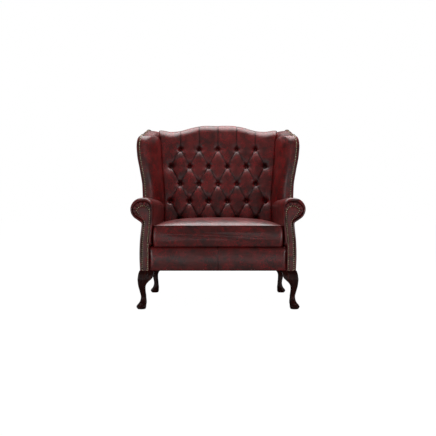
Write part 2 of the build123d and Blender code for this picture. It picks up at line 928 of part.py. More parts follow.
def wing_frame():
    """Right wing upright and the rail from its head back to the post."""
    foot_x, foot_y = wing_upright_foot()
    lean_x = wing_belly_x - wing_foot_x
    lean_y = wing_belly_front_y - wing_foot_front_y
    head_z = wing_front_top_z - wing_top_radius - wing_rail_drop
    ends = []
    for x, y, z in ((foot_x, foot_y, arm_rail_top_z), (foot_x + lean_x, foot_y + lean_y, head_z)):
        ends.append(Pos(x, y, z) * Rectangle(wing_upright_width, wing_upright_depth))
    upright = loft(ends, ruled=True)
    top_z = leg_height + post_head_up * cos(rake)
    rear_y = back_y(top_z)
    rear_x = (post_head_inner_x + post_head_outer_x) / 2
    rail_ends = []
    for x, y, z in (
        (foot_x + lean_x, foot_y + lean_y, head_z), (rear_x, rear_y, top_z - wing_rail_drop),
    ):
        middle = Plane(origin=(x, y, z - wing_rail_height / 2), x_dir=(1, 0, 0), z_dir=(0, 1, 0))
        rail_ends.append(middle * Rectangle(wing_upright_width, wing_rail_height))
    rail = cleaned(loft(rail_ends, ruled=True), [upright, behind_frame])
    return upright, rail.solids().sort_by(SortBy.VOLUME)[-1]


# Upholstery nails


def nail(place, outward):
    """Domed brass nail, its shank driven in against the outward direction."""
    dome = dome_arc(nail_radius, 0, nail_head_height)
    rest = Polyline(
        (0, nail_head_height), (0, -nail_shank_length), (nail_shank_radius, -nail_shank_length),
        (nail_shank_radius, 0), (nail_radius, 0),
    )
    shape = revolve(Plane.XZ * make_face([dome, rest]), axis=Axis.Z)
    return Plane(origin=place, z_dir=outward).location * shape


def arm_nails():
    """Close-set nails round the facing of the right arm."""
    line = facing_outline(leg_height + nail_radius).wires()[0]
    count = round(line.length / nail_pitch)
    nails = []
    for i in range(count):
        place = line.position_at(i * line.length / count, PositionMode.LENGTH)
        nails.append(nail((place.X, arm_front_y, place.Y), (0, -1, 0)))
    return nails


def wing_nails():
    """Close-set nails up the front of the right wing and back along its top."""
    off = wing_nose_width / 2 - wing_panel_thickness
    points = []
    for front_z, _, front_y, outer_x, _, inset in wing_stations():
        half = wing_nose_width / 2 - inset
        if half > off:
            nose_y = front_y + wing_nose_width / 2 - sqrt(half ** 2 - off ** 2)
            points.append((outer_x - wing_panel_thickness, nose_y, front_z))
    seam_drop = wing_top_radius - sqrt(
        wing_top_radius ** 2 - (wing_top_radius - wing_panel_thickness) ** 2
    )
    turn = (
        wing_belly_x - wing_panel_thickness, wing_belly_front_y + wing_nose_width / 2,
        wing_front_top_z - seam_drop,
    )
    end = (
        wing_rear_head_x - wing_panel_thickness,
        back_y(wing_rear_top_z, -back_shell) + overrun,
        wing_rear_top_z - seam_drop,
    )
    nails = []
    for run in (Spline(*points, turn), Line(turn, end)):
        count = int(run.length / nail_pitch)
        for i in range(count):
            distance = (i + 1 / 2) * run.length / count
            place = run.position_at(distance, PositionMode.LENGTH)
            along = run.tangent_at(distance, PositionMode.LENGTH)
            rear_y = back_y(place.Z, -back_shell)
            if place.Z > arm_height + wing_nail_start and place.Y < rear_y - nail_radius:
                nails.append(nail(tuple(place), tuple(Vector(1, 0, 0).cross(along))))
    return nails


# Seat cushion


def cushion_body(inset):
    """Crowned cushion with drawn-in sides, all faces moved in by inset."""
    low = deck_height + soft_clearance + inset
    high = deck_height + soft_clearance + cushion_edge_height - inset
    sections = []
    for share in cushion_station_shares:
        full = 1 - share ** 2
        x = share * (cushion_half_width - inset)
        near = border_front_y + inset + cushion_draw * full + cushion_boxing_bulge
        far = cushion_back_y - inset - cushion_draw * full
        crown = cushion_crown * full + cushion_boxing_bulge
        bulge = cushion_boxing_bulge
        outline = Plane(origin=(x, 0, 0), x_dir=(0, 1, 0), z_dir=(1, 0, 0)) * make_face([
            Line((far, low), (near, low)),
            ThreePointArc((near, low), (near - bulge, (low + high) / 2), (near, high)),
            ThreePointArc((near, high), ((near + far) / 2, high + crown), (far, high)),
            Line((far, high), (far, low)),
        ])
        sections.append(outline)
    body = loft(sections)
    half = (cushion_back_y - border_front_y) / 2
    radius = (half ** 2 + cushion_draw ** 2) / (2 * cushion_draw)
    middle = (cushion_back_y + border_front_y) / 2
    for side in (-1, 1):
        x = side * (cushion_half_width - inset - cushion_draw + radius)
        body = body - Pos(x, middle, low) * Cylinder(radius, 2 * cushion_edge_height + overrun)
    return body


def cushion_and_zip():
    """Cover and core of the cushion, its zip in a pocket at the back, and the slider."""
    floor_y = cushion_back_y - cushion_draw - zip_pocket_depth
    middle = deck_height + soft_clearance + cushion_edge_height / 2
    wall = zip_pocket_wall
    half, height = zip_half_length, zip_pocket_height / 2
    thick = block(-half - wall, half + wall, floor_y - wall, reach,
                  middle - height - wall, middle + height + wall)
    pocket = block(-half, half, floor_y, reach, middle - height, middle + height)
    core = cushion_body(cushion_cover_thickness) - thick
    cover = cushion_body(0) - core - pocket
    ridge_y = floor_y + zip_tape_thickness
    ridge_end = ridge_y + zip_ridge_thickness
    tape = block(-half, half, floor_y, ridge_y, middle - zip_tape_height / 2,
                 middle + zip_tape_height / 2)
    ridge = block(-half, half, ridge_y, ridge_end, middle - zip_ridge_height / 2,
                  middle + zip_ridge_height / 2)
    x1 = half - slider_end_gap
    x0 = x1 - slider_length
    near = ridge_y + soft_clearance
    far = near + slider_thickness
    slider = block(x0, x1, near, far, middle - slider_height / 2, middle + slider_height / 2)
    slider = slider - block(
        x0, x1, ridge_y, ridge_end + soft_clearance,
        middle - zip_ridge_height / 2 - soft_clearance,
        middle + zip_ridge_height / 2 + soft_clearance,
    )
    low = middle - slider_height / 2
    pull_x = (x0 + x1 - slider_pull_width) / 2
    pull = block(pull_x, pull_x + slider_pull_width, far - slider_pull_thickness, far,
                 low - slider_pull_length, low)
    return cover, core, tape + ridge, slider + pull


# Cabriole legs


def leg():
    """Cabriole leg on its own axis, with its toe towards +x and -y."""
    sections = []
    for height, shift, width, corner in leg_station_shares:
        size = width * leg_head_width
        away = shift * leg_head_width * sqrt(1 / 2)
        place = Pos(away, -away, height * leg_height)
        sections.append(place * RectangleRounded(size, size, corner * size))
    return loft(sections)


def ear():
    """Shaped bracket beside a leg's knee: reaches along +x, towards -y of its middle."""
    curl = [(ear_reach * out, leg_height - ear_drop * down) for out, down in ear_curl_shares]
    sweep = [(ear_reach * out, leg_height - ear_drop * down) for out, down in ear_sweep_shares]
    rest = Polyline(sweep[-1], (0, leg_height - ear_drop), (0, leg_height), curl[0])
    face = make_face([ThreePointArc(*curl), ThreePointArc(*sweep), rest])
    near = leg_head_width / 2 - ear_set_back
    return through_y(face, -near, ear_thickness - near)


def legs_and_fixings():
    """Right front and rear legs, their brackets and their screws, all in place."""
    shape = leg()
    brackets = [mirror(ear(), about=Plane.YZ) - shape, Rot(0, 0, 90) * ear() - shape]
    bolt_x = frame_outer_x - rail_thickness / 2
    front_bolt_y = arm_body_y + stump_depth / 3
    screw = Cylinder(bolt_radius, bolt_length)
    front_screw = Pos(bolt_x, front_bolt_y, leg_height) * screw
    rear_screw = Pos(bolt_x, rear_leg_y, leg_height) * screw
    front = Pos(leg_x, front_leg_y, 0)
    rear = Pos(leg_x, rear_leg_y, 0)
    turned = mirror(shape, about=Plane.XZ)
    ears = [front * b for b in brackets] + [rear * mirror(b, about=Plane.XZ) for b in brackets]
    return front * shape - front_screw, rear * turned - rear_screw, ears, [
        front_screw, rear_screw
    ]


# Assembly


def build():
    """All pieces by name, each a solid or a list of solids."""
    pieces = {}

    def pair(name, right):
        """Keep a right-hand piece and its mirror image."""
        several = isinstance(right, list)
        pieces[name + "_right"] = right
        pieces[name + "_left"] = [mirrored(s) for s in right] if several else mirrored(right)

    def both(solids):
        """Right-hand solids with their mirror images."""
        return solids + [mirrored(s) for s in solids]

    front_leg, rear_leg, ears, screws = legs_and_fixings()
    pair("front_leg", front_leg)
    pair("rear_leg", rear_leg)
    pieces["leg_brackets"] = both(ears)
    pieces["leg_screws"] = both(screws)

    pins = right_dowels()
    pieces["frame_dowels"] = both(pins)
    front_rail, back_rail, side_rail, stump, stretcher, arm_rail = seat_frame()
    post, crest, stay, uprights = back_frame()
    wing_upright, wing_rail = wing_frame()
    pieces["front_rail"] = cleaned(front_rail, both(pins))
    pieces["back_rail"] = cleaned(back_rail, both(pins))
    pieces["seat_stretcher"] = stretcher
    pair("side_rail", cleaned(side_rail, pins + screws))
    pair("arm_stump", cleaned(stump, pins + screws))
    pair("arm_rail", cleaned(arm_rail, pins))
    pair("back_post", cleaned(post, pins))
    pieces["crest_rail"] = cleaned(crest, both(pins))
    pieces["stay_rail"] = cleaned(stay, both(pins))
    pieces["back_uprights"] = [cleaned(bar, both(pins)) for bar in uprights]
    pair("wing_upright", cleaned(wing_upright, pins))
    pair("wing_rail", wing_rail)
    front_end = front_rail_y + rail_thickness
    pieces["corner_blocks"] = both([
        corner_block(front_end, 1) - stump, corner_block(back_y(rail_bottom), -1)
    ])
    pair("scroll_board", through_y(
        facing_outline(leg_height), arm_front_y + facing_thickness, arm_body_y
    ))

    spring_places = [(i - (spring_count - 1) / 2) * spring_pitch for i in range(spring_count)]
    pieces["seat_springs"] = [seat_spring(x) for x in spring_places]
    pieces["spring_clips"] = [spring_clip(x, y) for x in spring_places for y in spring_ends()]
    pieces["seat_deck"] = block(
        -frame_inner_x, frame_inner_x, border_front_y + border_lip_depth, back_y(deck_bottom),
        deck_bottom, deck_height,
    )
    inset = frame_outer_x - dust_cover_margin
    cover = block(
        -inset, inset, front_rail_y + dust_cover_margin,
        back_y(rail_bottom) + rail_thickness - dust_cover_margin,
        rail_bottom - dust_cover_thickness, rail_bottom,
    )
    cover = cleaned(cover, both([front_leg, rear_leg] + ears))
    pieces["dust_cover"] = cover.solids().sort_by(SortBy.VOLUME)[-1]

    body = back_pad_body()
    seat_block = block(-reach, reach, -reach, reach, -reach, deck_height)
    pieces["inside_back"] = on_back(inside_back(body)) - seat_block
    places = [place for row in button_places() for place in row]
    pieces["back_buttons"] = [on_back(button(place)) for place in places]
    pieces["button_twines"] = [on_back(twine(place)) for place in places]
    straps = [on_back(strap) for strap in webbing()]
    pieces["back_webbing"] = straps
    back_cover = outside_back()
    pieces["outside_back"] = back_cover

    pieces["front_border"] = front_border()
    level_straps = straps[-len(button_rows) + 1:]
    pair("inside_arm", inside_arm(
        [arm_rail, stump, post, stay, wing_upright, back_cover] + level_straps
    ))
    pair("outside_arm", outside_arm())
    pair("pleated_band", pleated_band())
    pair("arm_facing", through_y(
        facing_outline(leg_height), arm_front_y, arm_front_y + facing_thickness
    ))
    pair("arm_nails", arm_nails())

    roll = through_y(roll_outline(), arm_body_y, reach)
    wing = wing_body() - behind_sofa - roll
    region = wing_panel_region()
    pair("outside_wing", cleaned(wing & region, [wing_upright, wing_rail]))
    beside = between_sides(seat_half_width, back_pad_head_half_width)
    back_room = on_back(Pos(0, 0, -reach) * extrude(beside, amount=reach + back_pad_thickness))
    pair("inside_wing", cleaned(
        wing - region,
        [back_room, post, crest, wing_upright, wing_rail, back_cover] + level_straps,
    ))
    pair("wing_nails", wing_nails())

    cover, core, chain, slider = cushion_and_zip()
    pieces["cushion_cover"] = cover
    pieces["cushion_core"] = core
    pieces["cushion_zip"] = chain
    pieces["zip_slider"] = slider
    return pieces


def export(pieces):
    """Set the sofa down with its box centred on the origin and write every piece."""
    whole = Compound([s for piece in pieces.values()
                      for s in (piece if isinstance(piece, list) else [piece])])
    box = whole.bounding_box()
    centre = Pos(0, -(box.min.Y + box.max.Y) / 2, 0)
    os.makedirs("parts", exist_ok=True)
    for name, piece in pieces.items():
        solids = piece if isinstance(piece, list) else [piece]
        placed = [centre * solid for shape in solids for solid in shape.solids()]
        export_step(Compound(placed) if len(placed) > 1 else placed[0], f"parts/{name}.step")


export(build())
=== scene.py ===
"""Winged loveseat in buttoned antique leather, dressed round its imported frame."""

import json
import logging
import math
from dataclasses import dataclass
from enum import Enum
from typing import Callable, Sequence

import bmesh
import bpy
import numpy as np
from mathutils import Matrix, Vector


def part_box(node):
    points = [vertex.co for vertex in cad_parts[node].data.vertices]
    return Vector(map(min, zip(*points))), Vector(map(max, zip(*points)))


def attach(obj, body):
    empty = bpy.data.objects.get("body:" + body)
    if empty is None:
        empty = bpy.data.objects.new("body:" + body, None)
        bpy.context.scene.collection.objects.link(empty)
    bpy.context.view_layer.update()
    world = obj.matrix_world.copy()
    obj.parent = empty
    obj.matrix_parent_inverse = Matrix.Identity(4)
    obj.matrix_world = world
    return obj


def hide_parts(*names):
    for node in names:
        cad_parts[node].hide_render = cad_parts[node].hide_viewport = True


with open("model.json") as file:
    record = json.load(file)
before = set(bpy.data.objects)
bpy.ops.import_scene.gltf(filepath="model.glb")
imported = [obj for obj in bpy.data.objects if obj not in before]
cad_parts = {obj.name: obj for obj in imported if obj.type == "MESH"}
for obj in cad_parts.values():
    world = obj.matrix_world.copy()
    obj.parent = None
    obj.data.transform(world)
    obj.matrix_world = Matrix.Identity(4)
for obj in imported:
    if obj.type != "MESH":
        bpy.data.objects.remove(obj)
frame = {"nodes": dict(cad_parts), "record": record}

log = logging.getLogger("loveseat")
Colour = tuple[float, float, float]
Socket = bpy.types.NodeSocket
Place = tuple[float, float]
Points = np.ndarray
Surface = Callable[[Points, Points], Points]


class Side(Enum):
    """Which half of the sofa a piece belongs to, as the sign of its x."""

    LEFT = -1
    RIGHT = 1

    @property
    def word(self) -> str:
        """Name of the side, as the frame's nodes have it."""
        return self.name.lower()


# Shapes shared by the pieces


def eased(at: Points, knots: Sequence[float], values: Sequence) -> Points:
    """Run smoothly through knots without overshoot.

    Args:
        at: Where to read the run.
        knots: Rising places of the given values.
        values: A number or a point for each knot.

    Returns:
        One value or point for each place.
    """
    places = np.asarray(knots, float)
    given = np.asarray(values, float)
    flat = given.ndim == 1
    if flat:
        given = given[:, None]
    at = np.clip(np.asarray(at, float), places[0], places[-1])
    width = np.diff(places)[:, None]
    slope = np.diff(given, axis=0) / width
    tangent = np.zeros_like(given)
    product = slope[:-1] * slope[1:]
    total = slope[:-1] + slope[1:]
    tangent[1:-1] = np.where(product > 0, 2 * product / np.where(product > 0, total, 1), 0)
    tangent[0], tangent[-1] = slope[0], slope[-1]
    i = np.clip(np.searchsorted(places, at, side="right") - 1, 0, len(places) - 2)
    t = ((at - places[i]) / width[i, 0])[:, None]
    rise = t * t * (3 - 2 * t)
    out = (
        (1 - rise) * given[i] + rise * given[i + 1]
        + width[i] * (t * (1 - t) ** 2 * tangent[i] - t * t * (1 - t) * tangent[i + 1])
    )
    return out[:, 0] if flat else out


def held(x: Points) -> Points:
    """Keep x between 0 and 1."""
    return np.clip(x, 0, 1)


def smooth(x: Points) -> Points:
    """Ease from 0 to 1 as x goes from 0 to 1."""
    x = held(x)
    return x * x * (3 - 2 * x)


def bell(x: Points, width: float) -> Points:
    """Soft ridge of height 1 at 0, about twice width across."""
    return np.exp(-((x / width) ** 2))


def run(start: Sequence[float], end: Sequence[float], count: int) -> Points:
    """Even points on a straight stretch, without its last point."""
    t = np.linspace(0, 1, count, endpoint=False)[:, None]
    return np.asarray(start) * (1 - t) + np.asarray(end) * t


def turn(centre: Sequence[float], radius: float, first: float, last: float, count: int) -> Points:
    """Even points on a round stretch, angles in degrees, without its last point."""
    angle = np.radians(np.linspace(first, last, count, endpoint=False))
    return np.stack([centre[0] + radius * np.cos(angle), centre[1] + radius * np.sin(angle)], 1)


def softened(line: Points, passes: int) -> Points:
    """Round the corners of a line of points, its ends kept."""
    line = line.copy()
    for _ in range(passes):
        line[1:-1] = (line[:-2] + 2 * line[1:-1] + line[2:]) / 4
    return line


def along(line: Points, share: Points) -> Points:
    """Points at shares of a line, counted by its own points."""
    index = held(share) * (len(line) - 1)
    grid = np.arange(len(line))
    return np.stack([np.interp(index, grid, line[:, k]) for k in range(line.shape[1])], 1)


def chain(knots: Sequence[Place], counts: Sequence[int]) -> Points:
    """Even points on straight stretches from knot to knot, the last knot included."""
    stretches = [run(a, b, count) for a, b, count in zip(knots, knots[1:], counts)]
    return np.concatenate([*stretches, np.array([knots[-1]])])


def unit(vectors: Points) -> Points:
    """Vectors of length 1 that point the same way."""
    return vectors / np.maximum(np.linalg.norm(vectors, axis=1), 1e-9)[:, None]


def rippled(points: Points, scale: float, seed: float) -> Points:
    """Slow, soft unevenness, the same on every run.

    Args:
        points: Places on the piece.
        scale: How close the waves are.
        seed: Shifts the waves, so that pieces differ.

    Returns:
        Values between -1 and 1.
    """
    x, y, z = (points[:, k] * scale for k in range(3))
    waves = np.zeros(len(points))
    for k, (a, b, c) in enumerate(((1.0, 0.6, 0.3), (-0.5, 1.1, 0.7), (0.8, -0.4, 1.2))):
        waves += np.sin(a * x + b * y + c * z + seed * (k + 1)) / 3
    return waves


def in_scene(name: str, data: bpy.types.ID) -> bpy.types.Object:
    """Put a mesh, a light or a camera in the scene."""
    item = bpy.data.objects.new(name, data)
    bpy.context.scene.collection.objects.link(item)
    return item


def read_points(mesh: bpy.types.Mesh) -> Points:
    """Places of a mesh's points."""
    flat = np.zeros(len(mesh.vertices) * 3)
    mesh.vertices.foreach_get("co", flat)
    return flat.reshape(-1, 3)


def write_points(mesh: bpy.types.Mesh, points: Points) -> None:
    """Give a mesh's points their places."""
    mesh.vertices.foreach_set("co", points.ravel())
    mesh.update()


# Sizes of the sofa


@dataclass(frozen=True)
class Sizes:
    """Sizes in metres that several pieces share, as the frame has them."""

    height: float = 1.130
    depth: float = 0.840
    leg: float = 0.208
    deck: float = 0.341
    arm: float = 0.607
    seat_half: float = 0.360
    rake: float = math.radians(9)
    front_leg_y: float = 0.046
    toe_reach: float = 0.03927
    back_shell: float = 0.034
    crest_front: float = 0.066
    crest_rear: float = 0.012
    crest_padding: float = 0.022
    pad: float = 0.075
    pad_head_half: float = 0.409
    hump: float = 0.043
    hump_flat: float = 0.080
    hump_half: float = 0.330
    flare: float = 0.010
    button_x: float = 0.128
    button_up: float = 0.120
    button_drop: float = 0.178
    border_y: float = 0.031
    arm_body_y: float = 0.042
    roll: float = 0.062
    roll_x: float = 0.417
    neck: Place = (0.4165, 0.470)
    outer_x: float = 0.411

    @property
    def crest_up(self) -> float:
        """Height of the crest's middle, along the rake."""
        rise = self.height - self.leg - self.crest_front
        rise -= (self.pad - self.crest_front) * math.sin(self.rake)
        return rise / math.cos(self.rake) + self.crest_front

    @property
    def dip_up(self) -> float:
        """Height of the crest beside its hump, along the rake."""
        return self.crest_up - self.hump

    @property
    def foot_y(self) -> float:
        """Depth of the raked frame's front at the bottom of its posts."""
        lean = (self.crest_up - self.crest_rear) * math.sin(self.rake)
        shell = self.back_shell * math.cos(self.rake)
        return self.front_leg_y - self.toe_reach + self.depth - lean - shell + self.shift

    @property
    def shift(self) -> float:
        """How far the frame was moved along y to centre its box."""
        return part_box("front_border")[0].y - self.border_y

    @property
    def roll_z(self) -> float:
        """Height of the roll's centre."""
        return self.arm - self.roll

    def y(self, depth: float) -> float:
        """Place of a depth counted from the front toes."""
        return depth + self.shift

    def back(self, x: Points, up: Points, out: Points) -> Points:
        """Points on the raked back: across, along the rake, and out to the front."""
        x, up, out = np.broadcast_arrays(*np.atleast_1d(x, up, out))
        sine, cosine = math.sin(self.rake), math.cos(self.rake)
        return np.stack([
            x, self.foot_y + up * sine - out * cosine, self.leg + up * cosine + out * sine
        ], 1)

    def rear_y(self, z: Points) -> Points:
        """Depth of the sofa's rear plane at a height."""
        return self.foot_y + (z - self.leg) * math.tan(self.rake) + (
            self.back_shell / math.cos(self.rake)
        )

    def crest(self, x: Points) -> Points:
        """Height of the camel-humped crest at x, along the rake."""
        x = np.abs(x)
        half = (self.hump_half - self.hump_flat) / 2
        radius = (half**2 + (self.hump / 2) ** 2) / self.hump
        fall = self.crest_up - radius + np.sqrt(
            np.maximum(radius**2 - (x - self.hump_flat) ** 2, 0)
        )
        foot = self.dip_up + radius - np.sqrt(
            np.maximum(radius**2 - (self.hump_half - x) ** 2, 0)
        )
        low = np.where(x < self.hump_half, foot, self.dip_up)
        line = np.where(x < self.hump_flat + half, fall, low)
        return np.where(x <= self.hump_flat, self.crest_up, line)

    def pad_half(self, up: Points) -> Points:
        """Half width of the inside back at a height along the rake."""
        arm_up = (self.arm - self.leg) / math.cos(self.rake)
        share = held((up - arm_up) / (self.crest_up - arm_up))
        return self.seat_half + (self.pad_head_half - self.seat_half) * share


SIZES = Sizes()


# Finishes


class Wiring:
    """Adds the nodes of one tree and joins them."""

    def __init__(self, tree: bpy.types.NodeTree) -> None:
        """Start with a tree.

        Args:
            tree: Nodes of a finish or of the world.
        """
        self.tree = tree

    @classmethod
    def bare(cls, owner: bpy.types.Material | bpy.types.World) -> "Wiring":
        """Start with the emptied tree of a finish or of the world."""
        owner.use_nodes = True
        owner.node_tree.nodes.clear()
        return cls(owner.node_tree)

    def fill(self, socket: bpy.types.NodeSocket, value: object) -> None:
        """Fill one input.

        Args:
            socket: The input.
            value: Another node's output, a colour of three numbers, or a plain value.
        """
        if isinstance(value, bpy.types.NodeSocket):
            self.tree.links.new(value, socket)
        else:
            socket.default_value = (*value, 1) if socket.type == "RGBA" else value

    def add(self, kind: str, inputs: dict | None = None, **settings: object) -> bpy.types.Node:
        """Add a node.

        Args:
            kind: Kind of the node.
            inputs: What its inputs get, by their names or numbers.
            **settings: Its settings.

        Returns:
            The node.
        """
        node = self.tree.nodes.new(kind)
        for key, value in settings.items():
            setattr(node, key, value)
        for key, value in (inputs or {}).items():
            self.fill(node.inputs[key], value)
        return node

    def reckon(self, kind: str, first: object, second: object = 0.0) -> bpy.types.NodeSocket:
        """Arithmetic on two values."""
        return self.add("ShaderNodeMath", {0: first, 1: second}, operation=kind).outputs[0]

    def ramp(self, value: bpy.types.NodeSocket, low: float, high: float,
             start: float = 0.0, end: float = 1.0) -> bpy.types.NodeSocket:
        """Carry a value smoothly from start to end.

        Args:
            value: The value.
            low: Where the result begins to leave start.
            high: Where it reaches end.
            start: Result below low.
            end: Result above high.

        Returns:
            The result.
        """
        return self.add("ShaderNodeMapRange", {
            "Value": value, "From Min": low, "From Max": high, "To Min": start, "To Max": end,
        }, interpolation_type="SMOOTHSTEP").outputs["Result"]


class NodeDesk(Wiring):
    """Wires a finish round its shader, on the piece's own coordinates."""

    def __init__(self, name: str) -> None:
        """Start a finish.

        Args:
            name: Name of the finish.
        """
        self.material = bpy.data.materials.new(name)
        self.material.use_nodes = True
        super().__init__(self.material.node_tree)
        self.shader = self.tree.nodes["Principled BSDF"]
        self.coords = self.add("ShaderNodeTexCoord").outputs["Object"]

    def noise(self, scale: float, detail: float = 3, rough: float = 0.5,
              coords: Socket | None = None) -> Socket:
        """Cloudy value between 0 and 1, on the piece's own coordinates or on others."""
        return self.add("ShaderNodeTexNoise", {
            "Scale": scale, "Detail": detail, "Roughness": rough,
            "Vector": coords or self.coords}).outputs["Fac"]

    def bent(self, scale: float, amount: float) -> Socket:
        """Coordinates shaken by a cloud.

        Args:
            scale: Clouds in a metre.
            amount: How far they shake a point, in metres.

        Returns:
            The coordinates.
        """
        cloud = self.add("ShaderNodeTexNoise", {"Scale": scale, "Vector": self.coords})
        centred = self.add("ShaderNodeVectorMath", {
            0: cloud.outputs["Color"], 1: (0.5, 0.5, 0.5)}, operation="SUBTRACT")
        scaled = self.add("ShaderNodeVectorMath", {0: centred.outputs[0], "Scale": amount},
                          operation="SCALE")
        return self.add("ShaderNodeVectorMath", {0: self.coords, 1: scaled.outputs[0]},
                        operation="ADD").outputs[0]

    def stretched(self, scale: tuple[float, float, float]) -> Socket:
        """Coordinates that draw a pattern out along the wood."""
        return self.add("ShaderNodeMapping", {"Vector": self.coords, "Scale": scale}
                        ).outputs["Vector"]

    def cells(self, scale: float, coords: Socket) -> Socket:
        """Distance from the middle of each cell of a pattern."""
        return self.add("ShaderNodeTexVoronoi", {"Scale": scale, "Vector": coords}
                        ).outputs["Distance"]

    def mix(self, share: object, first: object, second: object) -> Socket:
        """Mix two colours."""
        return self.add("ShaderNodeMix", {"Factor": share, 6: first, 7: second},
                        data_type="RGBA").outputs[2]

    def threads(self, scale: float, width: float, coords: Socket
                ) -> Socket:
        """Thin wandering threads.

        Args:
            scale: Threads in a metre.
            width: Their width, as a share of the cloud that they follow.
            coords: Coordinates of that cloud.

        Returns:
            1 on a thread, 0 beside it.
        """
        cloud = self.noise(scale, 3, 0.55, coords)
        away = self.reckon("ABSOLUTE", self.reckon("SUBTRACT", cloud, 0.5))
        return self.ramp(away, 0.0, width, 1, 0)

    def bump(self, height: Socket, strength: float, distance: float,
             below: Socket | None = None) -> Socket:
        """Surface relief.

        Args:
            height: Height of the relief, from 0 to 1.
            strength: Share of the relief that shows.
            distance: Its full height in metres.
            below: Relief that it lies on.

        Returns:
            The surface's direction.
        """
        inputs = {"Strength": strength, "Distance": distance, "Height": height}
        if below:
            inputs["Normal"] = below
        return self.add("ShaderNodeBump", inputs).outputs["Normal"]

    def attribute(self, name: str) -> Socket:
        """Value that a piece's points carry."""
        return self.add("ShaderNodeAttribute", attribute_name=name).outputs["Fac"]

    def finish(self, inputs: dict[str, object]) -> bpy.types.Material:
        """Fill the shader's inputs and hand the finish over."""
        for key, value in inputs.items():
            self.fill(self.shader.inputs[key], value)
        return self.material


@dataclass(frozen=True)
class AntiqueLeather:
    """Rubbed-off oxblood leather: dark brown clouds, red threads and a fine grain."""

    name: str
    dark: Colour = (0.031, 0.0052, 0.0044)
    warm: Colour = (0.080, 0.0056, 0.0046)
    vein: Colour = (0.300, 0.0080, 0.0105)
    # Colour of painted shade and dirt, laid on by the fold share in hollows, creases and beside the
    # nails.
    fold: Colour = (0.0080, 0.0012, 0.0012)
    cloud_scale: float = 12
    spot_scale: float = 40
    vein_scale: float = 46
    short_vein_scale: float = 120
    patch_scale: float = 19
    fleck_scale: float = 230
    grain_scale: float = 760
    dent_scale: float = 64
    sheen: float = 0.5
    # Sheen where the fold share paints shade.
    fold_sheen: float = 0.06
    tufted: bool = False
    lean: float = 8.85
    pitch: float = 0.128

    def build(self) -> bpy.types.Material:
        """Make the finish."""
        desk = NodeDesk(self.name)
        clouds = desk.noise(self.cloud_scale, 3, 0.55)
        spots = desk.noise(self.spot_scale, 4, 0.6)
        shade = desk.reckon("ADD", desk.reckon("MULTIPLY", clouds, 0.6),
                            desk.reckon("MULTIPLY", spots, 0.4))
        ground = desk.mix(desk.ramp(shade, 0.42, 0.60), self.dark, self.warm)
        colour = desk.mix(self.vein_share(desk), ground, self.vein)
        # The fold share paints shade and dirt into hollows, creases and beside the nails, and
        # lowers the sheen there.
        depth = desk.attribute("fold")
        colour = desk.mix(desk.ramp(depth, 0.0, 1.0, 0.0, 0.92), colour, self.fold)
        grain = desk.cells(self.grain_scale, desk.bent(300, 0.001))
        relief = desk.bump(grain, 0.16, 0.0004)
        relief = desk.bump(desk.noise(self.dent_scale, 4, 0.6), 0.14, 0.0024, relief)
        if self.tufted:
            colour, relief = self.tuck_lines(desk, colour, relief)
        return desk.finish({
            "Base Color": colour,
            "Roughness": desk.ramp(shade, 0.38, 0.66, 0.34, 0.42),
            "Specular IOR Level": desk.ramp(depth, 0.0, 0.8, self.sheen, self.fold_sheen),
            "Normal": relief,
        })

    def vein_share(self, desk: NodeDesk) -> Socket:
        """Draw the red threads and flecks, in patches.

        Args:
            desk: The finish being wired.

        Returns:
            Share of red in the leather.
        """
        coords = desk.bent(70, 0.014)
        long = desk.threads(self.vein_scale, 0.030, coords)
        short = desk.threads(self.short_vein_scale, 0.055, coords)
        patches = desk.ramp(desk.noise(self.patch_scale, 3, 0.6), 0.36, 0.62, 0.12, 1.0)
        flecks = desk.ramp(desk.noise(self.fleck_scale, 3, 0.7), 0.56, 0.72)
        marks = desk.reckon("MAXIMUM", desk.reckon("MULTIPLY", long, 0.95),
                            desk.reckon("MULTIPLY", short, 0.6))
        marks = desk.reckon("MAXIMUM", marks, desk.reckon("MULTIPLY", flecks, 0.5))
        return desk.reckon("MULTIPLY", marks, patches)

    def tuck_lines(self, desk: NodeDesk, colour: Socket,
                   relief: Socket) -> tuple[Socket, ...]:
        """Draw the narrow tucks where the leather is folded between the buttons, as painted shade
        in each crease and a painted shadow beside it.

        Args:
            desk: The finish being wired.
            colour: Colour so far.
            relief: Relief so far.

        Returns:
            The colour and the relief with the tucks.
        """
        lines = []
        for name, scale, zone in (("rising", 1 / self.lean, "diamonds"),
                                  ("falling", 1 / self.lean, "diamonds"),
                                  ("across", self.pitch, "pleats")):
            near = desk.reckon("PINGPONG", desk.reckon("ADD", desk.attribute(name), 40.0), 0.5)
            far = desk.reckon("MULTIPLY", near, scale)
            out = desk.ramp(desk.attribute(zone), 0.35, 0.65, 0.02, 0.0)
            lines.append(desk.reckon("ADD", far, out))
        line = desk.reckon("MINIMUM", desk.reckon("MINIMUM", lines[0], lines[1]), lines[2])
        # Painted shade in each crease and a painted shadow beside it; the lip is relief.
        crease = desk.ramp(line, 0.0004, 0.0026, 1, 0)
        shadow = desk.ramp(line, 0.001, 0.009, 0.42, 0)
        lip = desk.ramp(line, 0.0020, 0.0046, 1, 0)
        colour = desk.mix(desk.reckon("MAXIMUM", crease, shadow), colour, self.fold)
        height = desk.reckon("SUBTRACT", lip, desk.reckon("MULTIPLY", crease, 2.0))
        return colour, desk.bump(height, 0.7, 0.0014, relief)


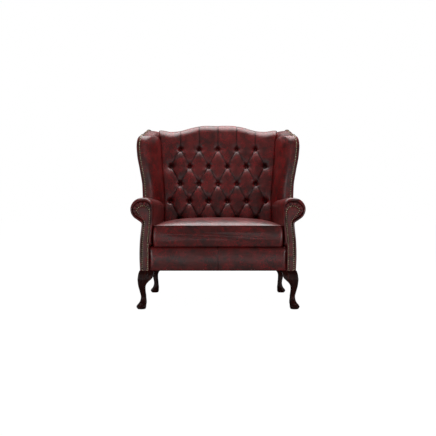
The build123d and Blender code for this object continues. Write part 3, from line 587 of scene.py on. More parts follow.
@dataclass(frozen=True)
class PolishedMahogany:
    """Dark stained hardwood under a deep polish."""

    name: str
    dark: Colour = (0.0135, 0.0010, 0.0003)
    light: Colour = (0.058, 0.0060, 0.0014)
    stretch: tuple[float, float, float] = (1, 1, 0.12)
    gloss: float = 0.27
    sheen: float = 0.16

    def build(self) -> bpy.types.Material:
        """Make the finish."""
        desk = NodeDesk(self.name)
        upright = desk.stretched(self.stretch)
        grain = desk.noise(180, 5, 0.65, upright)
        figure = desk.noise(26, 3, 0.5, upright)
        share = desk.reckon("MULTIPLY", desk.ramp(grain, 0.42, 0.68),
                            desk.ramp(figure, 0.3, 0.7))
        return desk.finish({
            "Base Color": desk.mix(share, self.dark, self.light),
            "Roughness": desk.ramp(grain, 0.3, 0.7, self.gloss, self.gloss + 0.08),
            "Normal": desk.bump(grain, 0.05, 0.0003),
            "Specular IOR Level": self.sheen,
        })


@dataclass(frozen=True)
class PlanedWood:
    """Bare planed beech of the hidden frame."""

    name: str
    light: Colour = (0.50, 0.32, 0.18)
    dark: Colour = (0.33, 0.19, 0.10)
    stretch: tuple[float, float, float] = (0.15, 1, 1)

    def build(self) -> bpy.types.Material:
        """Make the finish."""
        desk = NodeDesk(self.name)
        level = desk.stretched(self.stretch)
        grain = desk.noise(120, 5, 0.6, level)
        flecks = desk.noise(420, 2, 0.5, level)
        return desk.finish({
            "Base Color": desk.mix(desk.ramp(grain, 0.35, 0.7), self.light, self.dark),
            "Roughness": desk.ramp(flecks, 0.3, 0.7, 0.55, 0.7),
            "Normal": desk.bump(grain, 0.1, 0.0004),
        })


@dataclass(frozen=True)
class TarnishedMetal:
    """Metal with a dull film in its low places and at its rims."""

    name: str
    bright: Colour
    film: Colour
    roughness: float = 0.34
    metallic: float = 1.0

    def build(self) -> bpy.types.Material:
        """Make the finish."""
        desk = NodeDesk(self.name)
        spots = desk.noise(320, 4, 0.6)
        colour = desk.mix(desk.ramp(spots, 0.35, 0.68), self.film, self.bright)
        return desk.finish({
            "Base Color": desk.mix(desk.ramp(desk.attribute("rim"), 0.2, 0.8), colour, self.film),
            "Roughness": desk.ramp(spots, 0.3, 0.7, self.roughness + 0.16, self.roughness),
            "Normal": desk.bump(spots, 0.12, 0.0002),
            "Metallic": self.metallic,
        })


@dataclass(frozen=True)
class WovenCloth:
    """Plain woven cloth seen close."""

    name: str
    thread: Colour
    shadow: Colour
    threads_per_metre: float = 900

    def build(self) -> bpy.types.Material:
        """Make the finish."""
        desk = NodeDesk(self.name)
        weave = None
        for direction in ("X", "Y", "Z"):
            band = desk.add("ShaderNodeTexWave", {
                "Scale": self.threads_per_metre / 20, "Distortion": 0.6, "Vector": desk.coords},
                wave_type="BANDS", bands_direction=direction)
            value = band.outputs["Fac"]
            weave = desk.reckon("MULTIPLY", weave, value) if weave else value
        return desk.finish({
            "Base Color": desk.mix(desk.ramp(weave, 0.0, 0.4), self.shadow, self.thread),
            "Roughness": 0.85,
            "Normal": desk.bump(weave, 0.4, 0.0005),
        })


# Making pieces


@dataclass
class Workshop:
    """Makes pieces from shapes and sets them on their bodies."""

    finishes: dict[str, bpy.types.Material]
    merge: float = 0.00002

    def piece(self, name: str, shape: bmesh.types.BMesh, finish: str) -> bpy.types.Object:
        """Put a shape in the scene with its finish, smoothly shaded.

        Args:
            name: Name of the piece.
            shape: Its shape, which is used up.
            finish: Its finish.

        Returns:
            The piece's object.
        """
        mesh = bpy.data.meshes.new(name)
        shape.to_mesh(mesh)
        shape.free()
        mesh.polygons.foreach_set("use_smooth", [True] * len(mesh.polygons))
        mesh.materials.append(self.finishes[finish])
        return in_scene(name, mesh)

    def laid(self, cells: tuple[int, int], surface: Surface
             ) -> tuple[bmesh.types.BMesh, Points, Points]:
        """Lay a grid over a surface.

        Args:
            cells: Grid cells along the first and the second share.
            surface: Place of each point, from its two shares.

        Returns:
            The grid, and the two shares of each of its points.
        """
        grid = bmesh.new()
        bmesh.ops.create_grid(grid, x_segments=cells[0], y_segments=cells[1], size=0.5)
        shares = np.array([v.co[:2] for v in grid.verts]) + 0.5
        across, upward = shares[:, 0], shares[:, 1]
        for vertex, point in zip(grid.verts, surface(across, upward)):
            vertex.co = point
        return grid, across, upward

    def cover(self, name: str, node: str, surface: Surface, cells: tuple[int, int],
              outward: Sequence[float], wall: float, fill: float, finish: str = "leather",
              slot: str = "leather", carried: dict[str, Surface] | None = None) -> None:
        """Make a padded cover of the sofa from a grid.

        Args:
            name: Name of the piece.
            node: Node that it stands for.
            surface: Place of each point, from its two shares.
            cells: Grid cells along the first and the second share.
            outward: Direction that most of the cover looks in.
            wall: Its thickness.
            fill: How full it is.
            finish: Its finish.
            slot: The record's material slot.
            carried: Values that the points carry, by name.
        """
        grid, across, upward = self.laid(cells, surface)
        for key, value in (carried or {}).items():
            layer = grid.verts.layers.float.new(key)
            for vertex, number in zip(grid.verts, value(across, upward)):
                vertex[layer] = float(number)
        grid.normal_update()
        facing = sum((f.normal * f.calc_area() for f in grid.faces), Vector())
        if facing.dot(Vector(outward)) < 0:
            bmesh.ops.reverse_faces(grid, faces=grid.faces)
        piece = self.piece(name, grid, finish)
        self.thicken(piece, wall)
        self.mount(piece, "sofa", slot, [node], fill=fill)

    def tube(self, name: str, finish: str, cells: tuple[int, int], surface: Surface
             ) -> bpy.types.Object:
        """Shape a grid into a closed form: its sides meet, open ends are capped.

        Args:
            name: Name of the piece.
            finish: Its finish.
            cells: Grid cells round the form and along it.
            surface: Place of each point, from its two shares.

        Returns:
            The piece's object.
        """
        grid = self.laid(cells, surface)[0]
        bmesh.ops.remove_doubles(grid, verts=grid.verts, dist=self.merge)
        bmesh.ops.holes_fill(grid, edges=[e for e in grid.edges if e.is_boundary], sides=0)
        bmesh.ops.recalc_face_normals(grid, faces=grid.faces)
        return self.piece(name, grid, finish)

    def thicken(self, piece: bpy.types.Object, thickness: float) -> None:
        """Give a sheet its wall, on its inner side."""
        wall = piece.modifiers.new("wall", "SOLIDIFY")
        wall.thickness = thickness
        wall.offset = -1
        wall.use_rim = True

    def mount(self, piece: bpy.types.Object, body: str, slot: str,
              replaced: Sequence[str] = (), fill: float | None = None) -> None:
        """Set a piece on its body and hide the frame's nodes that it stands for.

        Args:
            piece: The finished piece.
            body: The frame's body that carries it.
            slot: The record's material slot. Not used.
            replaced: Nodes that it stands for.
            fill: How full it is, for a padded piece. Not used.
        """
        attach(piece, body)
        if replaced:
            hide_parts(*replaced)
        log.info("%s: %d points, on %s", piece.name, len(piece.data.vertices), body)


@dataclass
class NailRow:
    """A row of domed upholstery nails along a line."""

    shop: Workshop
    radius: float = 0.0043
    rise: float = 0.0030
    pitch: float = 0.0109
    rim_height: float = 0.55
    under: float = 0.2
    beside: float = 0.002

    def dome(self, row: bmesh.types.BMesh, rim: object, spin: object, place: Vector) -> None:
        """Add one nail's head.

        Args:
            row: Shape that takes it.
            rim: Mark of the points at its rim.
            spin: Turn from upright to the nail's direction.
            place: Its place.
        """
        made = bmesh.ops.create_uvsphere(row, u_segments=10, v_segments=6,
                                         radius=self.radius)["verts"]
        for vertex in made:
            low = vertex.co.z < 0
            vertex[rim] = 1.0 if vertex.co.z < self.radius * self.rim_height else 0.0
            vertex.co.z *= self.rise / self.radius * (self.under if low else 1.0)
        bmesh.ops.rotate(row, verts=made, cent=(0, 0, 0), matrix=spin)
        bmesh.ops.translate(row, verts=made, vec=place)

    def build(self, name: str, line: Points, outward: Callable[[Vector], Vector],
              replaced: Sequence[str]) -> None:
        """Make the row.

        Args:
            name: Name of the piece.
            line: Points that the row follows.
            outward: Direction of a nail's dome, from the row's direction.
            replaced: Nodes that the row stands for.
        """
        steps = np.linalg.norm(np.diff(line, axis=0), axis=1)
        length = np.concatenate([[0], np.cumsum(steps)])
        count = max(1, int(round(length[-1] / self.pitch)))
        row = bmesh.new()
        rim = row.verts.layers.float.new("rim")
        for i in range(count):
            at = (i + 0.5) * length[-1] / count
            places = [Vector([np.interp(at + step, length, line[:, k]) for k in range(3)])
                      for step in (-self.beside, 0, self.beside)]
            way = (places[2] - places[0]).normalized()
            spin = Vector((0, 0, 1)).rotation_difference(outward(way)).to_matrix()
            self.dome(row, rim, spin, places[1])
        piece = self.shop.piece(name, row, "nail_brass")
        self.shop.mount(piece, "sofa", "nail_brass", replaced)


# Inside back


@dataclass
class ButtonedBack:
    """Deep-buttoned inside back with its pleated camel crest, and its buttons."""

    shop: Workshop
    rows: tuple[int, ...] = (5, 6, 5, 6, 5)
    fold_middle: float = 0.011
    fold_end: float = 0.022
    fold_reach: float = 0.056
    tuck_reach: float = 0.017
    dimple: float = 0.036
    dimple_flat: float = 0.006
    dimple_reach: float = 0.025
    hollow: float = 0.021
    hollow_reach: float = 0.080
    pleat: float = 0.0075
    pleat_reach: float = 0.050
    side_pleat: float = 0.004
    side_pleat_reach: float = 0.035
    side_round: float = 0.007
    side_reach: float = 0.018
    flare_start: float = 0.330
    flare_over: float = 0.070
    unevenness: float = 0.0012
    shade_start: float = 0.0225
    shade_over: float = 0.010
    seam_shade: float = 0.008
    diamond_margin: float = 0.06
    pleat_margin: float = 0.2
    button: float = 0.0105
    button_flatness: float = 0.55
    button_proud: float = 0.0015
    tail: float = 0.024
    wall: float = 0.008
    columns: int = 264
    front_rows: int = 232
    bend_rows: int = 26
    top_rows: int = 14
    rear_rows: int = 10
    ending_rows: int = 4

    @property
    def top(self) -> float:
        """Height of the highest row of buttons, along the rake."""
        return SIZES.crest_up - SIZES.button_drop

    @property
    def all_rows(self) -> int:
        """Rows of the pad's grid, from the seat over the crest to its rear."""
        return self.front_rows + self.bend_rows + self.top_rows + self.rear_rows

    def over(self, row: Points) -> Points:
        """Share of the bend over the crest that is done at a row."""
        return held((row - self.front_rows) / self.bend_rows)

    def drawn(self, x: Points, up: Points, row: Points) -> Points:
        """Depth of folds and buttons, which end where the crest begins."""
        return self.pull(x, up) * held(1 - (row - self.front_rows) / self.ending_rows)

    def button_places(self) -> list[Place]:
        """Places of the buttons: across and up the rake."""
        return [
            ((i - (count - 1) / 2) * SIZES.button_x, self.top - row * SIZES.button_up)
            for row, count in enumerate(self.rows) for i in range(count)
        ]

    def folds(self) -> list[tuple[Place, Place]]:
        """Pairs of neighbouring buttons that a fold joins."""
        places = self.button_places()
        return [
            (a, b) for a in places for b in places
            if abs(abs(a[0] - b[0]) - SIZES.button_x / 2) < 0.001
            and abs(a[1] - b[1] - SIZES.button_up) < 0.001
        ]

    def outline(self, across: Points, upward: Points) -> tuple[Points, ...]:
        """Undisturbed surface over the frame.

        Args:
            across: Shares from the left side to the right.
            upward: Shares from the seat over the crest to the rear.

        Returns:
            Across, up the rake, out, the surface's direction as up and out, and the row.
        """
        total = self.all_rows
        row = upward * total
        spread = 2 * across - 1
        crest = SIZES.crest(spread * SIZES.pad_head_half) + SIZES.flare * smooth(
            (np.abs(spread) * SIZES.pad_head_half - self.flare_start) / self.flare_over)
        low = (SIZES.deck + 0.001 - SIZES.leg) / math.cos(SIZES.rake) - SIZES.pad * math.tan(
            SIZES.rake
        )
        front, rear = SIZES.crest_front, SIZES.crest_rear
        up = low + (crest - front - low) * held(row / self.front_rows)
        out = np.full_like(up, SIZES.pad)
        normal_up, normal_out = np.zeros_like(up), np.ones_like(up)
        angle = self.over(row) * math.pi / 2
        turned = row > self.front_rows
        up = np.where(turned, crest - front + front * np.sin(angle), up)
        out = np.where(turned, SIZES.pad - front + front * np.cos(angle), out)
        normal_up = np.where(turned, np.sin(angle), normal_up)
        normal_out = np.where(turned, np.cos(angle), normal_out)
        level = held((row - self.front_rows - self.bend_rows) / self.top_rows)
        top_out, rear_out = SIZES.pad - front, rear - SIZES.back_shell
        out = np.where(level > 0, top_out + (rear_out - top_out) * level, out)
        last = held((row - total + self.rear_rows) / self.rear_rows)
        angle = held(last * 2) * math.pi / 2
        drop = held(last * 2 - 1) * self.tail
        up = np.where(last > 0, crest - rear + rear * np.cos(angle) - drop, up)
        out = np.where(last > 0, rear_out - rear * np.sin(angle), out)
        normal_up = np.where(last > 0, np.cos(angle), normal_up)
        normal_out = np.where(last > 0, -np.sin(angle), normal_out)
        return spread * SIZES.pad_half(up), up, out, normal_up, normal_out, row

    def bank(self, far: Points, reach: float) -> Points:
        """Bank of a fold: 1 in its narrow tuck, 0 where the pillow is full."""
        wide = held(1 - far / reach)
        narrow = held(1 - far / self.tuck_reach)
        return 0.5 * wide**2 + 0.5 * (1 - np.sqrt(held(1 - narrow**2)))

    def pull(self, x: Points, up: Points) -> Points:
        """Depth to which folds and buttons draw the pad in.

        Args:
            x: Places across.
            up: Heights along the rake.

        Returns:
            The values.
        """
        total = np.zeros_like(x)
        for a, b in self.folds():
            start, way = np.array(a), np.array(b) - np.array(a)
            length = math.hypot(*way)
            t = held(((x - start[0]) * way[0] + (up - start[1]) * way[1]) / length**2)
            far = np.hypot(x - start[0] - t * way[0], up - start[1] - t * way[1])
            deep = self.fold_middle + (self.fold_end - self.fold_middle) * (2 * t - 1) ** 4
            total += (deep * self.bank(far, self.fold_reach)) ** 3
        for place in self.button_places():
            far = np.hypot(x - place[0], up - place[1])
            share = (far - self.dimple_flat) / (self.dimple_reach - self.dimple_flat)
            wide = self.hollow * held(1 - far / self.hollow_reach) ** 2
            core = (self.dimple - self.hollow) * (1 - held(share)) ** 1.8
            total += (wide + core) ** 3
        return total ** (1 / 3)

    def pleats(self, x: Points, up: Points, row: Points) -> Points:
        """Depth of the pleats over the crest, below the last row and at the sides.

        Args:
            x: Places across.
            up: Heights along the rake.
            row: Rows of the grid.

        Returns:
            The values.
        """
        depth = np.zeros_like(x)
        bend = row > self.front_rows
        fade = np.where(bend, 1, smooth((up - self.top) / 0.02))
        over = self.over(row)
        swell = np.where(bend, 1 - 0.82 * smooth(over * 2.2),
                         1.0 + 1.2 * held(1 - (up - self.top) / 0.07) ** 2)
        bottom = self.top - (len(self.rows) - 1) * SIZES.button_up
        for i in range(self.rows[0]):
            far = np.abs(x - (i - (self.rows[0] - 1) / 2) * SIZES.button_x)
            shape = self.bank(far, self.pleat_reach) * self.pleat
            above = (up > self.top) | bend
            depth = np.maximum(depth, np.where(above, shape * fade * swell, 0))
            depth = np.maximum(depth, np.where(up < bottom, 2 * shape, 0))
        for k in range(1, len(self.rows), 2):
            outer = (self.rows[k] - 1) / 2 * SIZES.button_x
            beyond = held((np.abs(x) - outer) / 0.05)
            far = np.abs(up - (self.top - k * SIZES.button_up))
            near = held(1 - far / self.side_pleat_reach)
            shape = self.side_pleat * near**2 * (1 - 0.6 * beyond)
            depth = np.maximum(depth, np.where(np.abs(x) > outer, shape, 0))
        return depth

    def surface(self, across: Points, upward: Points) -> Points:
        """Shape of the drawn-in pad.

        Args:
            across: Shares from left to right.
            upward: Shares from the seat over the crest to the rear.

        Returns:
            The points.
        """
        x, up, out, normal_up, normal_out, row = self.outline(across, upward)
        depth = (self.drawn(x, up, row) ** 3 + self.pleats(x, up, row) ** 3) ** (1 / 3)
        edge = (SIZES.pad_half(up) - np.abs(x)) / self.side_reach
        side = self.side_round * held(1 - edge) ** 2.6
        bend = self.over(row)
        depth = depth + side * (1 - 0.85 * bend)
        depth = depth - self.unevenness * rippled(SIZES.back(x, up, out), 42, 1.3)
        return SIZES.back(x, up - depth * normal_up, out - depth * normal_out)

    def fold_shade(self, across: Points, upward: Points) -> Points:
        """Share by which painted shade and dirt darken the leather in a hollow, and painted shade
        darkens it at the side seam.

        Args:
            across: Shares from left to right.
            upward: Shares from the seat over the crest to the rear.

        Returns:
            The values.
        """
        x, up, _, _, _, row = self.outline(across, upward)
        hollow = (self.drawn(x, up, row) - self.shade_start) / self.shade_over
        edge = (SIZES.pad_half(up) - np.abs(x)) / self.seam_shade
        return np.maximum(held(hollow), 0.6 * held(1 - edge))

    def lattice(self, across: Points, upward: Points) -> tuple[Points, ...]:
        """Place in the lattice of buttons: across and down, counted in buttons.

        Args:
            across: Shares from left to right.
            upward: Shares from the seat over the crest to the rear.

        Returns:
            The place across, the place down, whether diamonds are there, and whether
            straight pleats are.
        """
        x, up, _, _, _, row = self.outline(across, upward)
        q, r = x / SIZES.button_x, (self.top - up) / SIZES.button_up
        last = len(self.rows) - 1
        half = (self.rows[0] - 1) / 2
        width = half + 0.5 * (1 - np.abs(np.mod(r, 2) - 1))
        bend = row > self.front_rows
        inside = (r > 0) & (r < last) & ~bend & (np.abs(q) < width + self.diamond_margin)
        straight = ((r <= 0) | (r >= last) | bend) & (np.abs(q) < half + self.pleat_margin)
        return q, r, inside.astype(float), straight.astype(float)

    def build(self) -> None:
        """Make the pad and its buttons."""
        self.shop.cover(
            "buttoned_back", "inside_back", self.surface, (self.columns, self.all_rows),
            outward=(0, -1, 0.4), wall=self.wall, fill=0.7, finish="tufted_leather",
            carried={
                "fold": self.fold_shade,
                "rising": lambda a, u: self.lattice(a, u)[0] + self.lattice(a, u)[1] / 2,
                "falling": lambda a, u: self.lattice(a, u)[0] - self.lattice(a, u)[1] / 2,
                "across": lambda a, u: self.lattice(a, u)[0],
                "diamonds": lambda a, u: self.lattice(a, u)[2],
                "pleats": lambda a, u: self.lattice(a, u)[3],
            },
        )
        self.build_buttons()

    def build_buttons(self) -> None:
        """Make the covered buttons, each at the bottom of its hollow."""
        buttons = bmesh.new()
        lean = Vector((0, -math.cos(SIZES.rake), math.sin(SIZES.rake)))
        spin = Vector((0, 0, 1)).rotation_difference(lean).to_matrix()
        for x, up in self.button_places():
            made = bmesh.ops.create_uvsphere(buttons, u_segments=16, v_segments=8,
                                             radius=self.button)["verts"]
            bmesh.ops.scale(buttons, verts=made, vec=(1, 1, self.button_flatness))
            bmesh.ops.rotate(buttons, verts=made, cent=(0, 0, 0), matrix=spin)
            place = SIZES.back(x, up, SIZES.pad - self.dimple + self.button_proud)[0]
            bmesh.ops.translate(buttons, verts=made, vec=place)
        piece = self.shop.piece("back_buttons_covered", buttons, "leather")
        self.shop.mount(piece, "sofa", "leather", ["back_buttons"])


# Arms


@dataclass
class RolledArm:
    """One arm: padded roll, outside panel, pleated band, facing and nails."""

    shop: Workshop
    side: Side
    outer_foot: Place = (0.426, 0.208)
    outer_bulge: Place = (0.4295, 0.300)
    outer_waist: Place = (0.4257, 0.388)
    shoulder: float = 0.040
    inner_waist: float = 0.450
    inner_corner: Place = (0.368, 0.361)
    inner_foot: Place = (0.377, 0.341)
    eye: Place = (0.409, 0.526)
    eye_radius: float = 0.0375
    throat: Place = (0.399, 0.486)
    cheek: Place = (0.437, 0.525)
    facing_outer: tuple[Place, ...] = ((0.4136, 0.208), (0.4115, 0.372))
    facing_inner: tuple[Place, ...] = ((0.3715, 0.526), (0.3760, 0.445), (0.384, 0.372),
                                       (0.384, 0.352), (0.384, 0.208))
    rim: float = 0.0105
    rim_head: float = 0.0165
    groove: float = 0.0050
    groove_in: float = 0.0036
    ring_in: float = 0.0065
    ring: float = 0.0038
    band_front: float = 0.0195
    back_share: float = 0.18
    rim_share: float = 0.34
    pleat_depth: float = 0.0030
    facing_puff: float = 0.0055
    facing_round: float = 0.014
    nail_y: float = 0.0215
    outside_puff: float = 0.0012
    rear_wall: float = 0.003
    pleat_angles: tuple[float, ...] = (-34.0, -12.0, 12.0, 38.0, 66.0, 92.0, 118.0, 146.0, 172.0)
    steps: tuple[int, ...] = (24, 10, 8, 44, 6, 22, 14, 12, 5, 14)

    def head(self) -> Points:
        """Front outline of the arm from its outer foot over the roll to its inner foot."""
        outer, n = (self.outer_foot, self.outer_bulge, self.outer_waist), self.steps
        z = np.linspace(self.outer_foot[1], self.outer_waist[1], n[0], endpoint=False)
        curve = np.polyfit([p[1] for p in outer], [p[0] for p in outer], 2)
        centre = np.array([SIZES.roll_x, SIZES.roll_z])
        touch, leave = self.tangent(centre, SIZES.roll, SIZES.neck)
        shoulder = (SIZES.seat_half + self.shoulder, SIZES.arm - self.shoulder)
        inner = ((SIZES.seat_half, shoulder[1]), (SIZES.seat_half, self.inner_waist),
                 self.inner_corner, self.inner_foot, (self.inner_foot[0], SIZES.leg))
        return np.concatenate([
            np.stack([np.polyval(curve, z), z], 1),
            run(self.outer_waist, SIZES.neck, n[1]),
            run(SIZES.neck, touch, n[2]),
            turn(centre, SIZES.roll, leave, 90, n[3]),
            run((SIZES.roll_x, SIZES.arm), (shoulder[0], SIZES.arm), n[4]),
            turn(shoulder, self.shoulder, 90, 180, n[5]),
            chain(inner, n[6:]),
        ])

    @staticmethod
    def tangent(centre: Sequence[float], radius: float, point: Sequence[float]
                ) -> tuple[Points, float]:
        """Where a line from a point below touches a circle.

        Args:
            centre: Middle of the circle.
            radius: Its radius.
            point: The point below.

        Returns:
            The place, and its angle in degrees.
        """
        away = math.hypot(point[0] - centre[0], point[1] - centre[1])
        angle = math.atan2(point[1] - centre[1], point[0] - centre[0])
        leave = math.degrees(angle + math.acos(radius / away))
        return turn(centre, radius, leave, 90, 1)[0], leave

    def facing_line(self) -> Points:
        """Outline of the facing, point by point beside the arm's outline."""
        n = self.steps
        outer = chain((*self.facing_outer, self.throat, self.cheek), n[:3])[:-1]
        head = [turn(self.eye, self.eye_radius, first, last, count)
                for first, last, count in ((15, 90, n[3]), (90, 96, n[4]), (96, 180, n[5]))]
        return softened(np.concatenate([outer, *head, chain(self.facing_inner, n[6:])]), 3)

    def roll(self, across: Points, upward: Points) -> Points:
        """Shape of the padded roll.

        Args:
            across: Shares across its profile.
            upward: Shares from front to rear.

        Returns:
            The points.
        """
        line, n = self.head(), self.steps
        inner = run((SIZES.seat_half, SIZES.arm - self.shoulder),
                    (SIZES.seat_half, SIZES.deck), 30)
        profile = softened(np.concatenate([line[sum(n[:2]):sum(n[:6])], inner]), 2)
        section = along(profile, across)
        x, z = section[:, 0], section[:, 1]
        front = SIZES.y(SIZES.arm_body_y - 0.004)
        y = front + (SIZES.rear_y(z) - front) * upward**1.15
        depth = y - front
        away = unit(section - np.array([SIZES.roll_x - 0.012, SIZES.roll_z]))
        swell = 0.0030 * smooth(depth / 0.05) * (1 - 0.6 * smooth(depth / 0.6))
        swell = swell + 0.0008 * rippled(np.stack([x, y, z], 1), 38, 2.1 * self.side.value)
        pull = 0.0006 * np.sin(across * 43 + np.sin(across * 17) * 2) * np.exp(-depth / 0.02)
        swell = swell * smooth(depth / 0.03) - pull * smooth(depth / 0.006)
        low = smooth((0.47 - z) / 0.1) * (x < 0.40)
        x = x + away[:, 0] * swell + low * np.exp(-depth / 0.05) * 0.006
        z = z + away[:, 1] * swell
        return np.stack([self.side.value * x, y, z], 1)

    def outside(self, across: Points, upward: Points) -> Points:
        """Shape of the leather panel on the outside of the arm.

        Args:
            across: Shares from its foot up to the neck.
            upward: Shares from front to rear.

        Returns:
            The points.
        """
        section = along(self.head()[:sum(self.steps[:2]) + 1], across)
        front = SIZES.y(SIZES.arm_body_y - 0.002)
        y = front + (SIZES.rear_y(section[:, 1]) - front) * upward
        puff = self.outside_puff * np.sin(np.pi * upward) * np.sin(np.pi * across)
        return np.stack([self.side.value * (section[:, 0] + puff), y, section[:, 1]], 1)

    def build_rear_cap(self) -> None:
        """Close the roll's rear end with a flat leather panel."""
        line = self.head()[sum(self.steps[:2]):sum(self.steps[:6])]
        cap = bmesh.new()
        rim = bmesh.ops.create_circle(cap, cap_ends=True, segments=len(line),
                                      radius=1.0)["verts"]
        for vertex, (x, z) in zip(rim, line):
            vertex.co = (self.side.value * x, SIZES.rear_y(z) + 0.0006, z)
        cap.normal_update()
        bmesh.ops.reverse_faces(cap, faces=[face for face in cap.faces if face.normal.y < 0])
        piece = self.shop.piece(f"arm_rear_cap_{self.side.word}", cap, "leather")
        self.shop.thicken(piece, self.rear_wall)
        self.shop.mount(piece, "sofa", "leather")

    def band_parts(self, across: Points, inward: Points) -> tuple[Points, ...]:
        """Landmarks of the band at each point.

        Args:
            across: Shares round the arm's outline.
            inward: Shares from the arm's body over its rim to the nails.

        Returns:
            The outer edge, the nailed edge, the width between them, the rim's
            radius, the rim's turn from 0 to 1 and the share of the flat beyond it.
        """
        edge, nails = along(softened(self.head(), 2), across), along(self.facing_line(), across)
        width = np.linalg.norm(nails - edge, axis=1)
        head = smooth((edge[:, 1] - 0.545) / 0.05)
        rim = np.minimum(self.rim + (self.rim_head - self.rim) * head, 0.70 * width)
        bend = held((inward - self.back_share) / self.rim_share)
        beyond = self.back_share + self.rim_share
        flat = held((inward - beyond) / (1 - beyond))
        return edge, nails, width, rim, bend, flat

    def band(self, across: Points, inward: Points) -> Points:
        """Shape of the gathered band.

        Args:
            across: Shares round the arm's outline.
            inward: Shares from the arm's body over its rim to the nails.

        Returns:
            The points.
        """
        edge, nails, width, rim, bend, flat = self.band_parts(across, inward)
        front, back = SIZES.y(self.band_front), SIZES.y(SIZES.arm_body_y + 0.006)
        angle = bend * math.pi / 2
        away = np.where(inward < self.back_share, 0, rim * (1 - np.cos(angle)))
        y = back + (front + rim - back) * held(inward / self.back_share)
        y = np.where(bend > 0, front + rim * (1 - np.sin(angle)), y)
        past = (width - rim) * flat
        away = away + past
        wide = smooth((width - rim - 0.004) / 0.010)
        nailed = SIZES.y(self.nail_y + 0.0012) - front
        y = y + nailed * smooth(flat * 1.4)
        dip = self.groove * (0.22 + 0.78 * wide)
        y = y + dip * bell(past - self.groove_in, 0.0030) * (flat > 0)
        ring_width = np.maximum(width - rim - self.ring_in, 0.004)
        ring = held((past - self.ring_in) / ring_width)
        y = y - self.ring * wide * np.sin(np.pi * ring) ** 0.8 * (flat > 0)
        share = held(away / np.maximum(width, 1e-6))[:, None]
        flatwise = edge * (1 - share) + nails * share
        y = y + self.pleats(flatwise) * held(flat * 4) * (1 - 0.4 * flat) * wide
        y = y + 0.35 * self.pleats(flatwise) * bend * (flat <= 0)
        return np.stack([self.side.value * flatwise[:, 0], y, flatwise[:, 1]], 1)

    def pleats(self, flatwise: Points) -> Points:
        """Depth of the pleats that run out from the scroll's middle."""
        x, z = flatwise[:, 0] - SIZES.roll_x + 0.006, flatwise[:, 1] - SIZES.roll_z + 0.012
        angle = np.degrees(np.arctan2(z, x))
        angle = np.where(angle < -80, angle + 360, angle)
        pleat = np.zeros_like(x)
        for at in self.pleat_angles:
            far = np.radians(angle - at) * np.hypot(x, z)
            pleat = np.maximum(pleat, bell(far, 0.0026) - 0.35 * bell(far - 0.006, 0.004))
        return pleat * self.pleat_depth * smooth((flatwise[:, 1] - SIZES.neck[1]) / 0.02)

    def band_shade(self, across: Points, inward: Points) -> Points:
        """Share by which painted shade and dirt darken the band in its groove and pleats, and
        painted shade darkens it at the nails.

        Args:
            across: Shares round the arm's outline.
            inward: Shares from the arm's body over its rim to the nails.

        Returns:
            The values.
        """
        edge, nails, width, rim, _, flat = self.band_parts(across, inward)
        past = (width - rim) * flat
        groove = bell(past - self.groove_in, 0.0020) * (flat > 0) * 0.75
        row = bell(width - rim - past, 0.0045) * 0.85 * (flat > 0)
        share = held((rim + past) / np.maximum(width, 1e-6))[:, None]
        pleat = self.pleats(edge * (1 - share) + nails * share) / self.pleat_depth
        return np.maximum(np.maximum(groove, row), 0.6 * held(pleat) * (flat > 0))

    def facing_parts(self, across: Points, upward: Points) -> tuple[Points, Points]:
        """Landmarks of the facing at each point.

        Args:
            across: Shares from its left edge to its right.
            upward: Shares from its foot to its head.

        Returns:
            Flat places, and their distance to the nearest edge.
        """
        line, top = self.facing_line(), sum(self.steps[:4])
        left = along(line[top:][::-1], upward)
        right = along(line[:top + 1], upward)
        flatwise = left * (1 - across[:, None]) + right * across[:, None]
        width = np.linalg.norm(right - left, axis=1)
        side = np.minimum(across, 1 - across) * width
        crown = self.eye[1] + self.eye_radius - flatwise[:, 1]
        return flatwise, np.minimum(side, np.maximum(crown, 0))

    def facing(self, across: Points, upward: Points) -> Points:
        """Shape of the padded panel inside the nails.

        Args:
            across: Shares from its left edge to its right.
            upward: Shares from its foot to its head.

        Returns:
            The points.
        """
        flatwise, inside = self.facing_parts(across, upward)
        fall = 1 - np.minimum(inside / self.facing_round, 1)
        puff = self.facing_puff * np.sqrt(held(1 - fall**2))
        y = SIZES.y(self.nail_y + 0.0018) - puff
        return np.stack([self.side.value * flatwise[:, 0], y, flatwise[:, 1]], 1)

    def facing_shade(self, across: Points, upward: Points) -> Points:
        """Share by which painted shade darkens the facing beside its nails."""
        return 0.9 * bell(self.facing_parts(across, upward)[1], 0.0050)

    def build_nails(self) -> None:
        """Make the close-set nails round the facing."""
        line = self.facing_line()
        closed = np.concatenate([line, run(line[-1], line[0], 12), line[:1]])
        nails = NailRow(self.shop)
        closed[:, 1] = np.maximum(closed[:, 1], SIZES.leg + nails.radius)
        depth = np.full(len(closed), SIZES.y(self.nail_y))
        nails.build(f"scroll_nails_{self.side.word}",
                    np.stack([self.side.value * closed[:, 0], depth, closed[:, 1]], 1),
                    lambda way: Vector((0, -1, 0)), [f"arm_nails_{self.side.word}"])

    def build(self) -> None:
        """Make the whole arm."""
        word, sign, shop = self.side.word, self.side.value, self.shop
        shop.cover(f"arm_roll_{word}", f"inside_arm_{word}", self.roll, (128, 120),
                   outward=(-0.3 * sign, 0, 1), wall=0.006, fill=0.85)
        shop.cover(f"arm_outside_{word}", f"outside_arm_{word}", self.outside, (40, 60),
                   outward=(sign, 0, 0), wall=0.012, fill=0.9)
        shop.cover(f"scroll_band_{word}", f"pleated_band_{word}", self.band, (480, 48),
                   outward=(0, -1, 0), wall=0.003, fill=0.8, carried={"fold": self.band_shade})
        shop.cover(f"facing_{word}", f"arm_facing_{word}", self.facing, (30, 150),
                   outward=(0, -1, 0), wall=0.003, fill=0.6,
                   carried={"fold": self.facing_shade})
        self.build_nails()
        self.build_rear_cap()


# Wings


